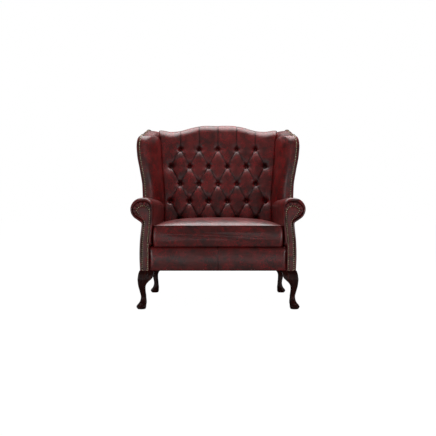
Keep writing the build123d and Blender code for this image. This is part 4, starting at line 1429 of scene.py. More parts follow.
@dataclass
class Wing:
    """One wing: padded inside rolled over the edge, outside panel and nails."""

    shop: Workshop
    side: Side
    nose: float = 0.029
    front_seam: float = 13.0
    top_seam: float = -3.0
    fullness: float = 0.066
    inner_fullness: float = 0.40
    valley: float = 0.005
    corner: float = 0.044
    face_share: float = 0.82
    nose_share: float = 0.3
    outer_puff: float = 0.004
    wall: float = 0.008
    panel: float = 0.018
    nail: float = 0.0043
    heights: tuple[float, ...] = (0.560, 0.6986, 0.8002, 0.8926, 0.9573, 0.992)
    outer_xs: tuple[float, ...] = (0.482, 0.4848, 0.4985, 0.5140, 0.518, 0.517)
    front_ys: tuple[float, ...] = (0.497, 0.4848, 0.4708, 0.4631, 0.462, 0.462)
    top_ys: tuple[float, ...] = (0.491, 0.580, 0.650, 0.715, 0.780, 0.835)
    top_zs: tuple[float, ...] = (0.992, 1.0055, 1.031, 1.0545, 1.0640, 1.0655)
    top_narrowing: float = 0.021
    anchor_up_shares: tuple[float, ...] = (-0.06, 0.06, 0.20, 0.32)
    anchor_drops: tuple[float, ...] = (0.190, 0.105, 0.045, 0.014, 0.008)
    anchor_out_shares: tuple[float, ...] = (0.0, 0.10, 0.20, 0.32)
    anchor_outs: tuple[float, ...] = (0.036, 0.044, 0.056, 0.050, 0.010, -0.032)
    rear_zs: tuple[float, ...] = (0.560, 0.93, 1.052)
    rear_slope: tuple[Place, Place] = ((0.433, 0.560), (0.496, 1.092))

    def edge(self) -> tuple[Points, Points, float]:
        """Middle line of the rolled edge, up the front and back along the top.

        Returns:
            Points on the line, the outward direction at each, and the share of the
            line at which its corner stands.
        """
        z = np.linspace(self.heights[0], self.heights[-1] - self.corner, 70)
        x = eased(z, self.heights, self.outer_xs) - self.nose
        y = eased(z, self.heights, self.front_ys) + self.nose
        front = np.stack([x, y, z], 1)
        y = np.linspace(self.top_ys[0] + self.corner, self.top_ys[-1], 70)
        rear_share = (y - self.top_ys[0]) / (self.top_ys[-1] - self.top_ys[0])
        x = self.outer_xs[-1] - self.nose - self.top_narrowing * rear_share
        top = np.stack([x, y, eased(y, self.top_ys, self.top_zs)], 1)
        tip = np.array([(front[-1, 0] + top[0, 0]) / 2, self.top_ys[0], self.heights[-1]])
        t = np.linspace(0, 1, 26)[1:-1, None]
        bend = (1 - t) ** 2 * front[-1] + 2 * t * (1 - t) * tip + t**2 * top[0]
        line = softened(np.concatenate([front, bend, top]), 3)
        ahead = np.gradient(line, axis=0)
        ahead[:, 0] = 0
        ahead = unit(ahead)
        outward = np.stack([np.zeros(len(line)), -ahead[:, 2], ahead[:, 1]], 1)
        return line, outward, (len(front) + len(bend) / 2) / len(line)

    def seam(self, share: Points, corner: float) -> Points:
        """Angle of the nailed seam on the rolled edge, 0 at its outmost."""
        return self.front_seam + (self.top_seam - self.front_seam) * smooth(
            (share - corner + 0.06) / 0.14)

    def anchor(self, share: Points, corner: float) -> Points:
        """Where the wing's inside dives beside the inside back.

        Args:
            share: Shares of the edge.
            corner: Share at which its corner stands.

        Returns:
            A point for each share.
        """
        low = (self.heights[0] - SIZES.leg) / math.cos(SIZES.rake) - 0.006
        crest = SIZES.dip_up + SIZES.flare
        up = eased(share, (0, *(corner + past for past in self.anchor_up_shares), 1),
                   (low, *(crest - drop for drop in self.anchor_drops)))
        out = eased(share, (0, *(corner + past for past in self.anchor_out_shares), 1),
                    self.anchor_outs)
        points = SIZES.back(SIZES.pad_half(up) - 0.005, up, out)
        points[:, 1] -= SIZES.shift
        return points

    def section(self, angle: Points, centre: Points, outward: Points) -> Points:
        """Points on the rolled nose at an angle, 0 at its outmost."""
        turned = np.radians(angle)[:, None]
        return centre + self.nose * (np.sin(turned) * np.array([1.0, 0, 0])
                                     + np.cos(turned) * outward)

    def placed(self, points: Points) -> Points:
        """Points moved to this wing's side and into the frame."""
        points = points.copy()
        points[:, 0] *= self.side.value
        points[:, 1] += SIZES.shift
        return points

    def inside(self, across: Points, share: Points) -> Points:
        """Shape of the padded inside.

        Args:
            across: Shares from beside the back to the nailed seam.
            share: Shares of the edge.

        Returns:
            The points.
        """
        line, outward, corner = self.edge()
        face = self.face_share
        centre, away = along(line, share), unit(along(outward, share))
        start = self.anchor(share, corner)
        apex = centre + self.nose * away
        reach = np.linalg.norm(start - apex, axis=1)[:, None]
        t = (1 - held(across / face))[:, None]
        full = np.minimum(self.fullness, 0.4 * reach)
        near = apex - np.array([1.0, 0, 0]) * full
        level = 1 - 0.9 * smooth((share - corner) / 0.12)[:, None]
        far = start + away * reach * self.inner_fullness * level
        inner = (
            (1 - t) ** 3 * apex + 3 * t * (1 - t) ** 2 * near
            + 3 * t**2 * (1 - t) * far + t**3 * start
        )
        angle = self.seam(share, corner) * held((across - face) / (1 - face))
        points = np.where((across < face)[:, None], inner, self.section(angle, centre, away))
        ridge = share - corner - 0.055 - 0.06 * (1 - across)
        press = bell(ridge, 0.028) * smooth((across - 0.10) / 0.3) * smooth((1 - across) / 0.14)
        lift = -self.valley * press + 0.0025 * bell(ridge + 0.09, 0.05) * smooth(
            (1 - across) / 0.2) * smooth(across / 0.3)
        lift = lift + 0.0007 * rippled(points, 45, 3.7)
        turned = unit(t * np.array([[-0.9, 0.0, 0.0]]) + (1 - t) * away)
        return self.placed(points + turned * lift[:, None])

    def inside_shade(self, across: Points, share: Points) -> Points:
        """Share by which painted shade and dirt darken the leather in the hollow beside the back,
        and painted shade darkens it along the nails.
        """
        nails = bell(1 - across, 0.035) * 0.75
        return np.maximum(0.8 * smooth(1 - across / 0.045), nails)

    def outside(self, across: Points, share: Points) -> Points:
        """Shape of the outside panel.

        Args:
            across: Shares from the nailed seam to the rear.
            share: Shares of the edge.

        Returns:
            The points.
        """
        line, outward, corner = self.edge()
        centre, away = along(line, share), unit(along(outward, share))
        seam = self.seam(share, corner)
        angle = seam + (90 - seam) * held(across / self.nose_share)
        nose = self.section(angle, centre, away)
        tangent = self.section(np.full_like(share, 90.0), centre, away)
        z = eased(share, (0, corner, 1), self.rear_zs)
        (low_x, low_z), (high_x, high_z) = self.rear_slope
        x = low_x + (z - low_z) / (high_z - low_z) * (high_x - low_x)
        rear = np.stack([x, SIZES.rear_y(z) - SIZES.shift, z], 1)
        flat = held((across - self.nose_share) / (1 - self.nose_share))
        outer = tangent * (1 - flat[:, None]) + rear * flat[:, None]
        outer[:, 0] += self.outer_puff * np.sin(np.pi * flat) * smooth((1 - share) * 4)
        return self.placed(np.where((across < self.nose_share)[:, None], nose, outer))

    def outside_shade(self, across: Points, share: Points) -> Points:
        """Share by which painted shade darkens the outside panel, at its nails."""
        return 0.8 * bell(across, 0.05)

    def build_nails(self) -> None:
        """Make the nails along the seam."""
        line, outward, corner = self.edge()
        share = np.linspace(0, 1, len(line))
        seam = self.section(self.seam(share, corner), line, outward)
        keep = (seam[:, 2] > SIZES.arm + 0.012) & (
            seam[:, 1] < SIZES.rear_y(seam[:, 2]) - SIZES.shift - 0.005)
        nails = NailRow(self.shop, self.nail)
        nails.build(f"wing_edge_nails_{self.side.word}", self.placed(seam[keep]),
                    lambda way: Vector((0, -abs(way.z), abs(way.y))).normalized(),
                    [f"wing_nails_{self.side.word}"])

    def build(self) -> None:
        """Make the whole wing."""
        word, sign = self.side.word, self.side.value
        self.shop.cover(f"wing_inside_{word}", f"inside_wing_{word}", self.inside, (96, 190),
                        outward=(-sign, -0.6, 0.3), wall=self.wall, fill=0.75,
                        carried={"fold": self.inside_shade})
        self.shop.cover(f"wing_outside_{word}", f"outside_wing_{word}", self.outside, (60, 150),
                        outward=(sign, 0, 0), wall=self.panel, fill=0.9,
                        carried={"fold": self.outside_shade})
        self.build_nails()


# Seat cushion


@dataclass(frozen=True)
class Crease:
    """A soft, nearly level fold in the cushion's front boxing."""

    depth: float
    height: float
    slant: float
    width: float
    start: float
    start_over: float
    end: float
    end_over: float
    waves: bool = False

    def depth_at(self, x: Points, height: Points) -> Points:
        """How far the fold stands out.

        Args:
            x: Places across the cushion.
            height: Shares of the boxing's height.

        Returns:
            Metres outwards.
        """
        line = height - self.height + self.slant * x
        if self.waves:
            line = line + (0.014 * np.sin(6.0 * x + 0.6) + 0.006 * np.sin(19.0 * x))
        return self.depth * bell(line, self.width) * smooth(
            (x - self.start) / self.start_over) * smooth((self.end - x) / self.end_over)


@dataclass
class SeatCushion:
    """Loose seat cushion: crowned top, boxed sides that bulge, and its welts."""

    shop: Workshop
    half: float = 0.3565
    rear: float = 0.594
    front: float = 0.031
    edge_height: float = 0.1125
    crown: float = 0.0395
    crown_power: float = 0.78
    draw: float = 0.004
    corner: float = 0.026
    side_bulge: float = 0.004
    front_bulge: float = 0.011
    clearance: float = 0.0006
    room_half: float = 0.3588
    front_give: float = 0.016
    rear_give: float = 0.004
    zip_z: float = 0.3998
    zip_half: float = 0.262
    zip_height_half: float = 0.022
    zip_floor: float = 0.5872
    zip_zone: float = 0.06
    steps: int = 20
    pressure: float = 2.0
    most: float = 0.004
    welt: float = 0.0021
    cells: int = 63
    creases: tuple[Crease, ...] = (
        Crease(0.0030, 0.53, 0.22, 0.075, -0.335, 0.12, 0.22, 0.30, waves=True),
        Crease(-0.0026, 0.40, 0.34, 0.055, -0.30, 0.14, 0.12, 0.25, waves=True),
        Crease(0.0024, 0.27, -0.10, 0.070, -1.0, 0.14, -0.16, 0.14),
        Crease(0.0014, 0.70, 0.05, 0.080, -0.20, 0.14, 0.30, 0.20),
        Crease(0.0018, 0.40, 0.16, 0.080, 0.02, 0.20, 1.0, 0.20),
    )

    def plan(self, a: float, b: float) -> tuple[float, float]:
        """Place in the plan, its corners rounded.

        Args:
            a: Place across the unit square.
            b: Place from front to rear.

        Returns:
            The place across and the depth.
        """
        half_y = (self.rear - self.front) / 2
        x, y = a * self.half, b * half_y
        inner_x, inner_y = self.half - self.corner, half_y - self.corner
        over_x, over_y = abs(x) - inner_x, abs(y) - inner_y
        if over_x > 0 and over_y > 0:
            p, q = over_x / self.corner, over_y / self.corner
            x = math.copysign(inner_x + self.corner * p * math.sqrt(1 - q * q / 2), x)
            y = math.copysign(inner_y + self.corner * q * math.sqrt(1 - p * p / 2), y)
        x -= a * self.draw * (1 - b * b)
        y -= b * self.draw * (1 - a * a) * (0.3 if b < 0 else 1.0)
        return x, (self.rear + self.front) / 2 + y

    def body(self) -> bpy.types.Object:
        """Form the closed, crowned cover from a subdivided block.

        Returns:
            The cover's object.
        """
        block = bmesh.new()
        bmesh.ops.create_cube(block, size=2.0)
        bmesh.ops.subdivide_edges(block, edges=block.edges[:], cuts=self.cells,
                                  use_grid_fill=True)
        low, rim = SIZES.deck + self.clearance, 0.9999
        seam = block.verts.layers.float.new("seam")
        for vertex in block.verts:
            a, b, c = (math.sin(k * math.pi / 2) for k in vertex.co)
            reach = max(abs(a), abs(b))
            x, y = self.plan(a, b)
            height = (c + 1) / 2
            z = low + height * self.edge_height
            if c > rim:
                z += self.crown * ((1 - a**4) * (1 - b**4)) ** self.crown_power
            if reach > rim:
                swell = math.sin(math.pi * height) ** 0.75
                x += a * abs(a) ** 3 * self.side_bulge * swell
                y += b * abs(b) ** 3 * swell * (
                    self.front_bulge if b < 0 else self.side_bulge)
            vertex.co = (x, SIZES.y(y), z)
            vertex[seam] = 1.0 if reach > rim and abs(c) > rim else 0.0
        return self.shop.piece("seat_cushion_cover", block, "leather")

    def creased(self, x: Points, height: Points) -> Points:
        """Depth of the soft folds in the front boxing, outwards."""
        return sum(crease.depth_at(x, height) for crease in self.creases)

    def puff(self, piece: bpy.types.Object) -> None:
        """Fill the cover: cloth under pressure, held along its seams."""
        mesh = piece.data
        before = read_points(mesh)
        seams = piece.vertex_groups.new(name="seams")
        marks = mesh.attributes["seam"].data
        seams.add([i for i, m in enumerate(marks) if m.value > 0.5], 1.0, "REPLACE")
        cloth = piece.modifiers.new("filling", "CLOTH")
        settings = cloth.settings
        settings.quality = 5
        settings.mass = 0.4
        settings.tension_stiffness = 40
        settings.compression_stiffness = 40
        settings.shear_stiffness = 20
        settings.bending_stiffness = 2
        settings.use_pressure = True
        settings.uniform_pressure_force = self.pressure
        settings.vertex_group_mass = "seams"
        settings.effector_weights.gravity = 0
        cloth.collision_settings.use_collision = False
        cloth.point_cache.frame_start = 1
        cloth.point_cache.frame_end = self.steps
        scene = bpy.context.scene
        for step in range(1, self.steps + 1):
            scene.frame_set(step)
        filled = piece.evaluated_get(bpy.context.evaluated_depsgraph_get())
        move = read_points(filled.to_mesh()) - before
        filled.to_mesh_clear()
        piece.modifiers.remove(cloth)
        scene.frame_set(1)
        far = np.linalg.norm(move, axis=1)
        move *= (np.minimum(far, self.most) / np.maximum(far, 1e-9))[:, None]
        write_points(mesh, before + move)
        log.info("cushion filled: moved %.1f mm at most", 1000 * min(far.max(), self.most))

    def settle(self, piece: bpy.types.Object) -> None:
        """Flatten what rests, keep it off its neighbours, and press in folds and zip."""
        mesh = piece.data
        points = read_points(mesh)
        low = SIZES.deck + self.clearance
        x, y, z = points[:, 0], points[:, 1] - SIZES.shift, points[:, 2]
        height = (z - low) / self.edge_height
        front = smooth((self.front + 0.010 - y) / 0.008) * smooth(height * 7) * smooth(
            (1 - height) * 7) * smooth((0.34 - np.abs(x)) / 0.05)
        y = y - front * self.creased(x, height)
        behind = y > self.rear - self.zip_zone
        pocket = smooth((self.zip_half - np.abs(x)) / 0.008) * smooth(
            (self.zip_height_half - np.abs(z - self.zip_z)) / 0.006) * behind
        y = np.where(behind, np.minimum(y, self.rear + self.rear_give), y)
        y = y * (1 - pocket) + np.minimum(y, self.zip_floor) * pocket
        y = np.maximum(y, self.front - self.front_give)
        z = np.maximum(z, low)
        x = np.clip(x, -self.room_half, self.room_half)
        write_points(mesh, np.stack([x, y + SIZES.shift, z], 1))

    def ring(self, share: Points) -> Points:
        """Place on the seam, as the body's own seam has it.

        Args:
            share: Shares of the seam.

        Returns:
            The place across and the depth of each.
        """
        t = (share % 1.0) * 4
        k = np.sin((2 * (t - np.floor(t)) - 1) * np.pi / 2)
        side = np.floor(t).astype(int) % 4
        one = np.ones_like(k)
        a = np.select([side == 0, side == 1, side == 2], [k, one, -k], -one)
        b = np.select([side == 0, side == 1, side == 2], [-one, k, one], -k)
        return np.array([self.plan(float(p), float(q)) for p, q in zip(a, b)])

    def build_welt(self, name: str, height: float) -> bpy.types.Object:
        """Make a thin welt along a seam of the cushion.

        Args:
            name: Name of the piece.
            height: Its height over the cushion's bottom.

        Returns:
            The welt's object.
        """
        def surface(across: Points, upward: Points) -> Points:
            """Skin of the welt: along the seam, and round the cord."""
            path, nearby = self.ring(across), self.ring(across + 0.0004)
            way = unit(nearby - path)
            angle = upward * 2 * math.pi
            x = path[:, 0] + way[:, 1] * self.welt * np.cos(angle)
            y = path[:, 1] - way[:, 0] * self.welt * np.cos(angle)
            z = SIZES.deck + self.clearance + height + self.welt * np.sin(angle)
            return np.stack([x, y + SIZES.shift, z], 1)

        return self.shop.tube(name, "leather", (400, 10), surface)

    def build(self) -> None:
        """Make the cushion and its welts."""
        piece = self.body()
        self.puff(piece)
        self.settle(piece)
        self.shop.mount(piece, "seat_cushion", "leather", ["cushion_cover", "cushion_core"],
                        fill=0.8)
        for name, height in (("cushion_welt_top", self.edge_height),
                             ("cushion_welt_bottom", self.welt + 0.0002)):
            self.shop.mount(self.build_welt(name, height), "seat_cushion", "leather")


# Border, platform, outside back and dust cover


@dataclass
class SeatCovers:
    """Front border, platform cloth, outside back and the dust cover below."""

    shop: Workshop
    border_half: float = 0.377
    border_bulge: float = 0.0115
    border_round: float = 0.017
    lip: float = 0.066
    leg_room: float = 0.050
    platform_half: float = 0.3755
    platform_in: float = 0.068
    platform_sag: float = 0.003
    back_crest_half: float = 0.45
    back_top_half: float = 0.490
    back_foot_more: float = 0.004
    back_puff: float = 0.006
    back_gap: float = 0.0015
    cloth: float = 0.0004
    cloth_sag: float = 0.006

    def border_profile(self) -> Points:
        """Section of the border: depth and height, from its foot over its top."""
        front, top, radius = SIZES.y(SIZES.border_y), SIZES.deck, self.border_round
        return np.concatenate([
            run((front + 0.003, SIZES.leg), (front + 0.001, top - radius), 44),
            turn((front + 0.001 + radius, top - radius), radius, 180, 90, 12),
            run((front + radius, top), (front + self.lip, top), 12),
            np.array([[front + self.lip, top]]),
        ])

    def border(self, across: Points, upward: Points) -> Points:
        """Shape of the padded border under the cushion.

        Args:
            across: Shares from left to right.
            upward: Shares from its foot over its top.

        Returns:
            The points.
        """
        section = along(self.border_profile(), upward)
        x = (2 * across - 1) * self.border_half
        rise = held((section[:, 1] - SIZES.leg) / (SIZES.deck - SIZES.leg))
        bulge = self.border_bulge * np.sin(np.pi * held(rise / 0.97) ** 0.82) ** 0.8
        bulge = bulge * smooth((self.border_half - np.abs(x)) / 0.022)
        seam = 0.0026 * bell(x, 0.0024) + 0.0016 * bell(x, 0.018)
        face = 1 - smooth((section[:, 0] - SIZES.y(SIZES.border_y) - 0.004) / 0.016)
        points = np.stack([x, section[:, 0], section[:, 1]], 1)
        wave = 0.0011 * rippled(points, 40, 5.2) * np.sin(np.pi * rise)
        points[:, 1] += face * (seam * np.sin(np.pi * rise) ** 0.3 - bulge - wave)
        return points

    def platform(self, across: Points, upward: Points) -> Points:
        """Shape of the platform under the cushion.

        Args:
            across: Shares from left to right.
            upward: Shares from front to rear.

        Returns:
            The points.
        """
        start = SIZES.y(SIZES.border_y + self.platform_in)
        end = SIZES.foot_y + (SIZES.deck - SIZES.leg) * math.tan(SIZES.rake) - 0.002
        sag = self.platform_sag * (np.sin(np.pi * across) * np.sin(np.pi * upward))
        return np.stack([(2 * across - 1) * self.platform_half, start + (end - start) * upward,
                         SIZES.deck - 0.0002 - sag], 1)

    def outside_back(self, across: Points, upward: Points) -> Points:
        """Shape of the leather panel behind the sofa.

        Args:
            across: Shares from left to right.
            upward: Shares from foot to crest.

        Returns:
            The points.
        """
        low = SIZES.back_shell * math.tan(SIZES.rake)
        arm_up = (SIZES.arm - SIZES.leg) / math.cos(SIZES.rake)
        spread = 2 * across - 1
        top = SIZES.crest(spread * self.back_crest_half) - SIZES.crest_padding
        top = top + 0.028 * smooth((np.abs(spread) - 0.80) / 0.03) - 0.020 * smooth(
            (np.abs(spread) - 0.94) / 0.06)
        up = low + (top - low) * upward
        share = held((up - arm_up) / (SIZES.crest_up - arm_up))
        half = SIZES.outer_x + self.back_foot_more + (
            self.back_top_half - SIZES.outer_x) * share
        full = held(4 * across * (1 - across)) * held(4 * upward * (1 - upward))
        puff = self.back_puff * full**0.6
        return SIZES.back(spread * half, up, -SIZES.back_shell - puff - self.back_gap)

    def build_dust_cover(self) -> None:
        """Make the thin black cloth under the seat, cut out round the legs."""
        low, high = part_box("dust_cover")
        size, middle = high - low, (low + high) / 2
        grid = bmesh.new()
        bmesh.ops.create_grid(grid, x_segments=90, y_segments=72, size=0.5)
        bmesh.ops.scale(grid, verts=grid.verts, vec=(size.x, size.y, 1))
        bmesh.ops.translate(grid, verts=grid.verts,
                            vec=(middle.x, middle.y, SIZES.leg - self.cloth))
        room = self.leg_room
        legs = [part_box(f"{end}_leg_{side.word}") for end in ("front", "rear") for side in Side]
        gone = [
            face for face in grid.faces
            if any(a.x - room < face.calc_center_median().x < b.x + room
                   and a.y - room < face.calc_center_median().y < b.y + room for a, b in legs)
        ]
        bmesh.ops.delete(grid, geom=gone, context="FACES")
        for vertex in grid.verts:
            across = (vertex.co.x - middle.x) / size.x * 2
            deep = (vertex.co.y - middle.y) / size.y * 2
            vertex.co.z -= self.cloth_sag * (1 - across**2) * (1 - deep**2)
        bmesh.ops.reverse_faces(grid, faces=grid.faces)
        area = sum(face.calc_area() for face in grid.faces)
        piece = self.shop.piece("dust_cover_cloth", grid, "dust_cloth")
        self.shop.thicken(piece, self.cloth)
        self.shop.mount(piece, "sofa", "dust_cloth", ["dust_cover"])

    def border_shade(self, across: Points, upward: Points) -> Points:
        """Share by which the border is darkened: a dark line along its middle seam, and painted
        shade beside the arms.
        """
        x = (2 * across - 1) * self.border_half
        return np.maximum(0.75 * bell(x, 0.0022), 0.6 * bell(self.border_half - np.abs(x), 0.008))

    def build(self) -> None:
        """Make all four covers."""
        self.shop.cover("seat_border", "front_border", self.border, (300, 66),
                        outward=(0, -1, 0.2), wall=0.003, fill=0.6,
                        carried={"fold": self.border_shade})
        self.shop.cover("seat_platform_cloth", "seat_deck", self.platform, (60, 50),
                        outward=(0, 0, 1), wall=0.009, fill=0.5, finish="deck_cloth",
                        slot="deck_cloth")
        self.shop.cover("back_panel_outside", "outside_back", self.outside_back, (120, 120),
                        outward=(0, 1, -0.1), wall=0.0035, fill=0.9)
        self.build_dust_cover()


# Legs


@dataclass
class CabrioleLegs:
    """Four cabriole legs with pad feet, and the brackets beside their knees."""

    shop: Workshop
    leg_x: float = 0.408
    front_y: float = 0.046
    rear_y: float = 0.622
    head: float = 0.058
    ear_start: float = 0.004
    ear_end: float = 0.057
    ear_thickness: float = 0.020
    ear_fade: float = 0.006
    ear_gap: float = 0.0004
    stations: tuple[tuple[float, float, float, float], ...] = (
        (0.00, 0.26, 0.74, 0.50),
        (0.02, 0.27, 0.82, 0.50),
        (0.06, 0.29, 0.93, 0.49),
        (0.10, 0.24, 0.87, 0.48),
        (0.16, 0.10, 0.71, 0.47),
        (0.23, 0.03, 0.58, 0.46),
        (0.31, 0.02, 0.51, 0.46),
        (0.46, 0.13, 0.55, 0.42),
        (0.60, 0.21, 0.68, 0.38),
        (0.70, 0.17, 0.83, 0.33),
        (0.80, 0.10, 0.96, 0.28),
        (0.90, 0.02, 0.98, 0.24),
        (1.00, -0.04, 0.86, 0.20),
    )
    ear_outs: tuple[float, ...] = (0.004, 0.010, 0.017, 0.031, 0.045, 0.052, 0.057)
    ear_drops: tuple[float, ...] = (0.100, 0.086, 0.071, 0.056, 0.043, 0.030, 0.004)

    def section(self, around: Points, height: Points) -> Points:
        """Shape of a leg: its toe towards +x and -y, its axis at the origin.

        Args:
            around: Shares round it.
            height: Shares of its height.

        Returns:
            The points.
        """
        table = np.array(self.stations)
        form = eased(height, table[:, 0], table[:, 1:])
        shift, width, corner = form[:, 0], form[:, 1], form[:, 2]
        power = 2 + (0.5 - corner) * 14
        angle = around * 2 * math.pi + math.pi / 4
        cosine, sine = np.cos(angle), np.sin(angle)
        radius = (np.abs(cosine) ** power + np.abs(sine) ** power) ** (-1 / power)
        half = width * self.head / 2
        away = shift * self.head * math.sqrt(0.5)
        return np.stack([away + half * radius * cosine, half * radius * sine - away,
                         height * SIZES.leg], 1)

    def build_leg(self, name: str, place: Place, flip: tuple[int, int]) -> None:
        """Make one leg.

        Args:
            name: Name of the frame's leg.
            place: Where its axis stands.
            flip: Signs that point its toe outwards.
        """
        def surface(around: Points, height: Points) -> Points:
            """The leg's shape in its own place."""
            points = self.section(around, height)
            points[:, 0] = place[0] + flip[0] * points[:, 0]
            points[:, 1] = place[1] + flip[1] * points[:, 1]
            return points

        piece = self.shop.tube(f"cabriole_{name}", "leg_mahogany", (48, 90), surface)
        self.shop.mount(piece, "sofa", "leg_mahogany", [name])

    def bracket(self, around: Points, outward: Points) -> Points:
        """Points on a bracket beside a leg's knee, in the leg's own place.

        Args:
            around: Shares round its section, from its top edge down its face.
            outward: Shares from the leg to the bracket's end.

        Returns:
            The points, the bracket running towards -x with its face towards -y.
        """
        out = self.ear_start + (self.ear_end - self.ear_start) * outward
        drop = eased(out, self.ear_outs, self.ear_drops)
        front = held(1 - np.abs(around - 0.27) / 0.23) ** 0.25
        face = around < 0.54
        down = np.where(face, held((around - 0.04) / 0.46), 1 - held((around - 0.58) / 0.42))
        z = SIZES.leg - self.ear_gap - drop * down
        table = np.array(self.stations)
        form = eased(z / SIZES.leg, table[:, 0], table[:, 1:3])
        knee = form[:, 0] * self.head * math.sqrt(0.5) + form[:, 1] * self.head / 2
        deep = knee - 0.0016 - self.ear_fade * outward**1.5
        y = np.where(face, -(deep - 0.004 * (1 - front)), self.ear_thickness - deep)
        return np.stack([-out, y, z], 1)

    def build_brackets(self) -> None:
        """Make the shaped brackets, two beside each leg."""
        for side in Side:
            for end, depth, sign in (("front", self.front_y, 1), ("rear", self.rear_y, -1)):
                place = (side.value * self.leg_x, SIZES.y(depth))
                for way in ("across", "along"):
                    def surface(around: Points, outward: Points) -> Points:
                        """The bracket's shape in its own place."""
                        points = self.bracket(around, outward)
                        x, y = points[:, 0].copy(), points[:, 1].copy()
                        if way == "along":
                            x, y = -y, -x
                        points[:, 0] = place[0] + side.value * x
                        points[:, 1] = place[1] + sign * y
                        return points

                    name = f"knee_bracket_{end}_{side.word}_{way}"
                    piece = self.shop.tube(name, "leg_mahogany", (44, 26), surface)
                    self.shop.mount(piece, "sofa", "leg_mahogany", ["leg_brackets"])

    def build(self) -> None:
        """Make legs and brackets."""
        for side in Side:
            sign = side.value
            x = sign * self.leg_x
            self.build_leg(f"front_leg_{side.word}", (x, SIZES.y(self.front_y)), (sign, 1))
            self.build_leg(f"rear_leg_{side.word}", (x, SIZES.y(self.rear_y)), (sign, -1))
        self.build_brackets()


# Finishes on the frame's own pieces


def make_finishes() -> dict[str, bpy.types.Material]:
    """Make every finish of the sofa."""
    makers = {
        "leather": AntiqueLeather("antique_leather"),
        "tufted_leather": AntiqueLeather("antique_leather_tufted", tufted=True),
        "nail_brass": TarnishedMetal("nail_brass", (0.78, 0.62, 0.42), (0.10, 0.07, 0.04),
                                     metallic=0.6),
        "leg_mahogany": PolishedMahogany("polished_mahogany"),
        "beech": PlanedWood("planed_beech"),
        "spring_steel": TarnishedMetal("spring_steel", (0.45, 0.45, 0.46), (0.22, 0.22, 0.23), 0.3),
        "webbing": WovenCloth("jute_webbing", (0.42, 0.32, 0.18), (0.16, 0.11, 0.06), 600),
        "twine": WovenCloth("waxed_twine", (0.60, 0.52, 0.38), (0.30, 0.25, 0.18), 2000),
        "deck_cloth": WovenCloth("platform_cloth", (0.055, 0.022, 0.018), (0.02, 0.008, 0.007)),
        "dust_cloth": WovenCloth("dust_cloth", (0.022, 0.022, 0.023), (0.008, 0.008, 0.008)),
        "cushion_filling": WovenCloth("cushion_wrap", (0.80, 0.78, 0.72), (0.62, 0.60, 0.55),
                                      500),
        "zip_tape": WovenCloth("zip_tape", (0.045, 0.015, 0.013), (0.015, 0.006, 0.005), 2500),
        "zip_metal": TarnishedMetal("zip_metal", (0.45, 0.34, 0.17), (0.16, 0.11, 0.06)),
    }
    return {key: maker.build() for key, maker in makers.items()}


def dress_frame(finishes: dict[str, bpy.types.Material]) -> None:
    """Give the frame's own pieces their finishes."""
    slot_of = {s["node"]: s["material_slot"] for s in frame["record"]["subparts"]}
    for name, node in frame["nodes"].items():
        material = finishes[slot_of[name]]
        if node.material_slots:
            for entry in node.material_slots:
                entry.material = material
        else:
            node.data.materials.append(material)
    log.info("frame: %d pieces dressed", len(frame["nodes"]))


# Studio


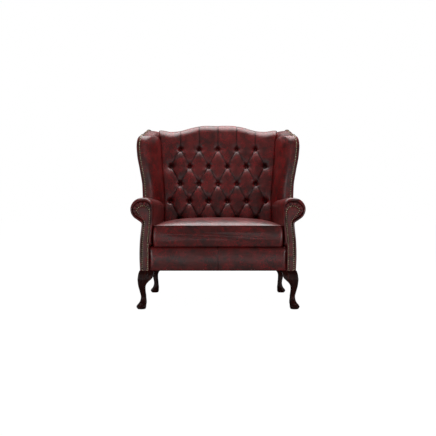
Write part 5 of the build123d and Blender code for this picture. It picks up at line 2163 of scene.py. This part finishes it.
@dataclass
class Studio:
    """Floor, daylight panels and the camera at the photograph's angle."""

    distance: float = 2.77
    camera_height: float = 0.519
    focal: float = 42.32
    tilt: float = 0.447
    floor_half: float = 30
    floor_colour: Colour = (0.26, 0.26, 0.26)
    floor_glow: float = 1.11
    floor_share: float = 0.90
    surround: Colour = (0.8, 0.8, 0.8)
    surround_strength: float = 0.20
    backdrop: Colour = (1, 1, 1)
    panels: tuple = (
        ("overhead_panel", (0, 0.5, 2.9), (0, 0.5, 0.8), (3.0, 2.2), 136),
        ("front_strip", (0, -3.6, 0.24), (0, 0, 0.24), (4.4, 0.5), 15),
        ("low_fill_left", (-2.3, -1.7, 0.35), (0, 0.1, 0.3), (0.8, 0.5), 12),
        ("low_fill_right", (2.3, -1.7, 0.35), (0, 0.1, 0.3), (0.8, 0.5), 12),
    )

    def seen(self, desk: Wiring, mirrored: object) -> Socket:
        """Share by which the pale background is seen: whole by the camera, less in gloss.

        Args:
            desk: The floor's or the world's nodes.
            mirrored: Share that gloss and glass see.

        Returns:
            The share.
        """
        path = desk.add("ShaderNodeLightPath").outputs
        gloss = desk.reckon("MAXIMUM", path["Is Glossy Ray"], path["Is Transmission Ray"])
        part = desk.reckon("MULTIPLY", gloss, mirrored)
        return desk.reckon("MAXIMUM", path["Is Camera Ray"], part)

    def build_floor(self) -> None:
        """Make the white floor, which keeps the sofa's shadow."""
        plane = bmesh.new()
        bmesh.ops.create_grid(plane, x_segments=1, y_segments=1, size=self.floor_half)
        mesh = bpy.data.meshes.new("floor")
        plane.to_mesh(mesh)
        plane.free()
        floor = in_scene("floor", mesh)
        material = bpy.data.materials.new("studio_floor")
        desk = Wiring.bare(material)
        plain = desk.add("ShaderNodeBsdfDiffuse", {"Color": self.floor_colour})
        glow = desk.add("ShaderNodeEmission", {"Strength": self.floor_glow})
        share = desk.reckon("MULTIPLY", self.seen(desk, 0.0), self.floor_share)
        mixed = desk.add("ShaderNodeMixShader", {
            0: share, 1: plain.outputs[0], 2: glow.outputs[0]})
        desk.add("ShaderNodeOutputMaterial", {"Surface": mixed.outputs[0]})
        mesh.materials.append(material)

    def build_world(self) -> None:
        """Make the white surround for the eye, and a soft grey one for the light."""
        world = bpy.data.worlds.new("studio")
        bpy.context.scene.world = world
        desk = Wiring.bare(world)
        soft = desk.add("ShaderNodeBackground", {
            "Color": self.surround, "Strength": self.surround_strength})
        white = desk.add("ShaderNodeBackground", {"Color": self.backdrop, "Strength": 1.0})
        direction = desk.add("ShaderNodeTexCoord").outputs["Generated"]
        split = desk.add("ShaderNodeSeparateXYZ", {0: direction})
        behind = desk.ramp(split.outputs["Y"], 0.55, 0.95, 0.0, 0.3)
        mixed = desk.add("ShaderNodeMixShader", {
            0: self.seen(desk, behind), 1: soft.outputs[0], 2: white.outputs[0]})
        desk.add("ShaderNodeOutputWorld", {"Surface": mixed.outputs[0]})

    def hang(self, name: str, place: Sequence[float], target: Sequence[float],
             size: tuple[float, float], power: float) -> None:
        """Hang one light panel.

        Args:
            name: Its name.
            place: Where it hangs.
            target: What it looks at.
            size: Its width and height.
            power: Its power in watts.
        """
        light = bpy.data.lights.new(name, "AREA")
        light.shape = "RECTANGLE"
        light.size, light.size_y = size
        light.energy = power
        lamp = in_scene(name, light)
        lamp.location = place
        lamp.rotation_euler = (Vector(target) - Vector(place)).to_track_quat(
            "-Z", "Y").to_euler()

    def build_camera(self) -> None:
        """Set the camera where the photograph was taken."""
        data = bpy.data.cameras.new("camera")
        data.lens = self.focal
        data.sensor_width = 36
        data.sensor_fit = "HORIZONTAL"
        camera = in_scene("camera", data)
        camera.location = (0, SIZES.y(0) - self.distance, self.camera_height)
        camera.rotation_euler = (math.radians(90 - self.tilt), 0, 0)
        bpy.context.scene.camera = camera

    def build(self) -> None:
        """Make the whole studio."""
        self.build_floor()
        self.build_world()
        for panel in self.panels:
            self.hang(*panel)
        self.build_camera()
        bpy.context.scene.view_settings.view_transform = "Standard"
        log.info("studio ready")


def main() -> None:
    """Build the loveseat round its frame and light it."""
    logging.basicConfig(level=logging.INFO, format="%(name)s: %(message)s")
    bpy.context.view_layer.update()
    finishes = make_finishes()
    dress_frame(finishes)
    shop = Workshop(finishes)
    ButtonedBack(shop).build()
    for side in Side:
        RolledArm(shop, side).build()
        Wing(shop, side).build()
    SeatCushion(shop).build()
    SeatCovers(shop).build()
    CabrioleLegs(shop).build()
    Studio().build()


if __name__ == "__main__":
    main()
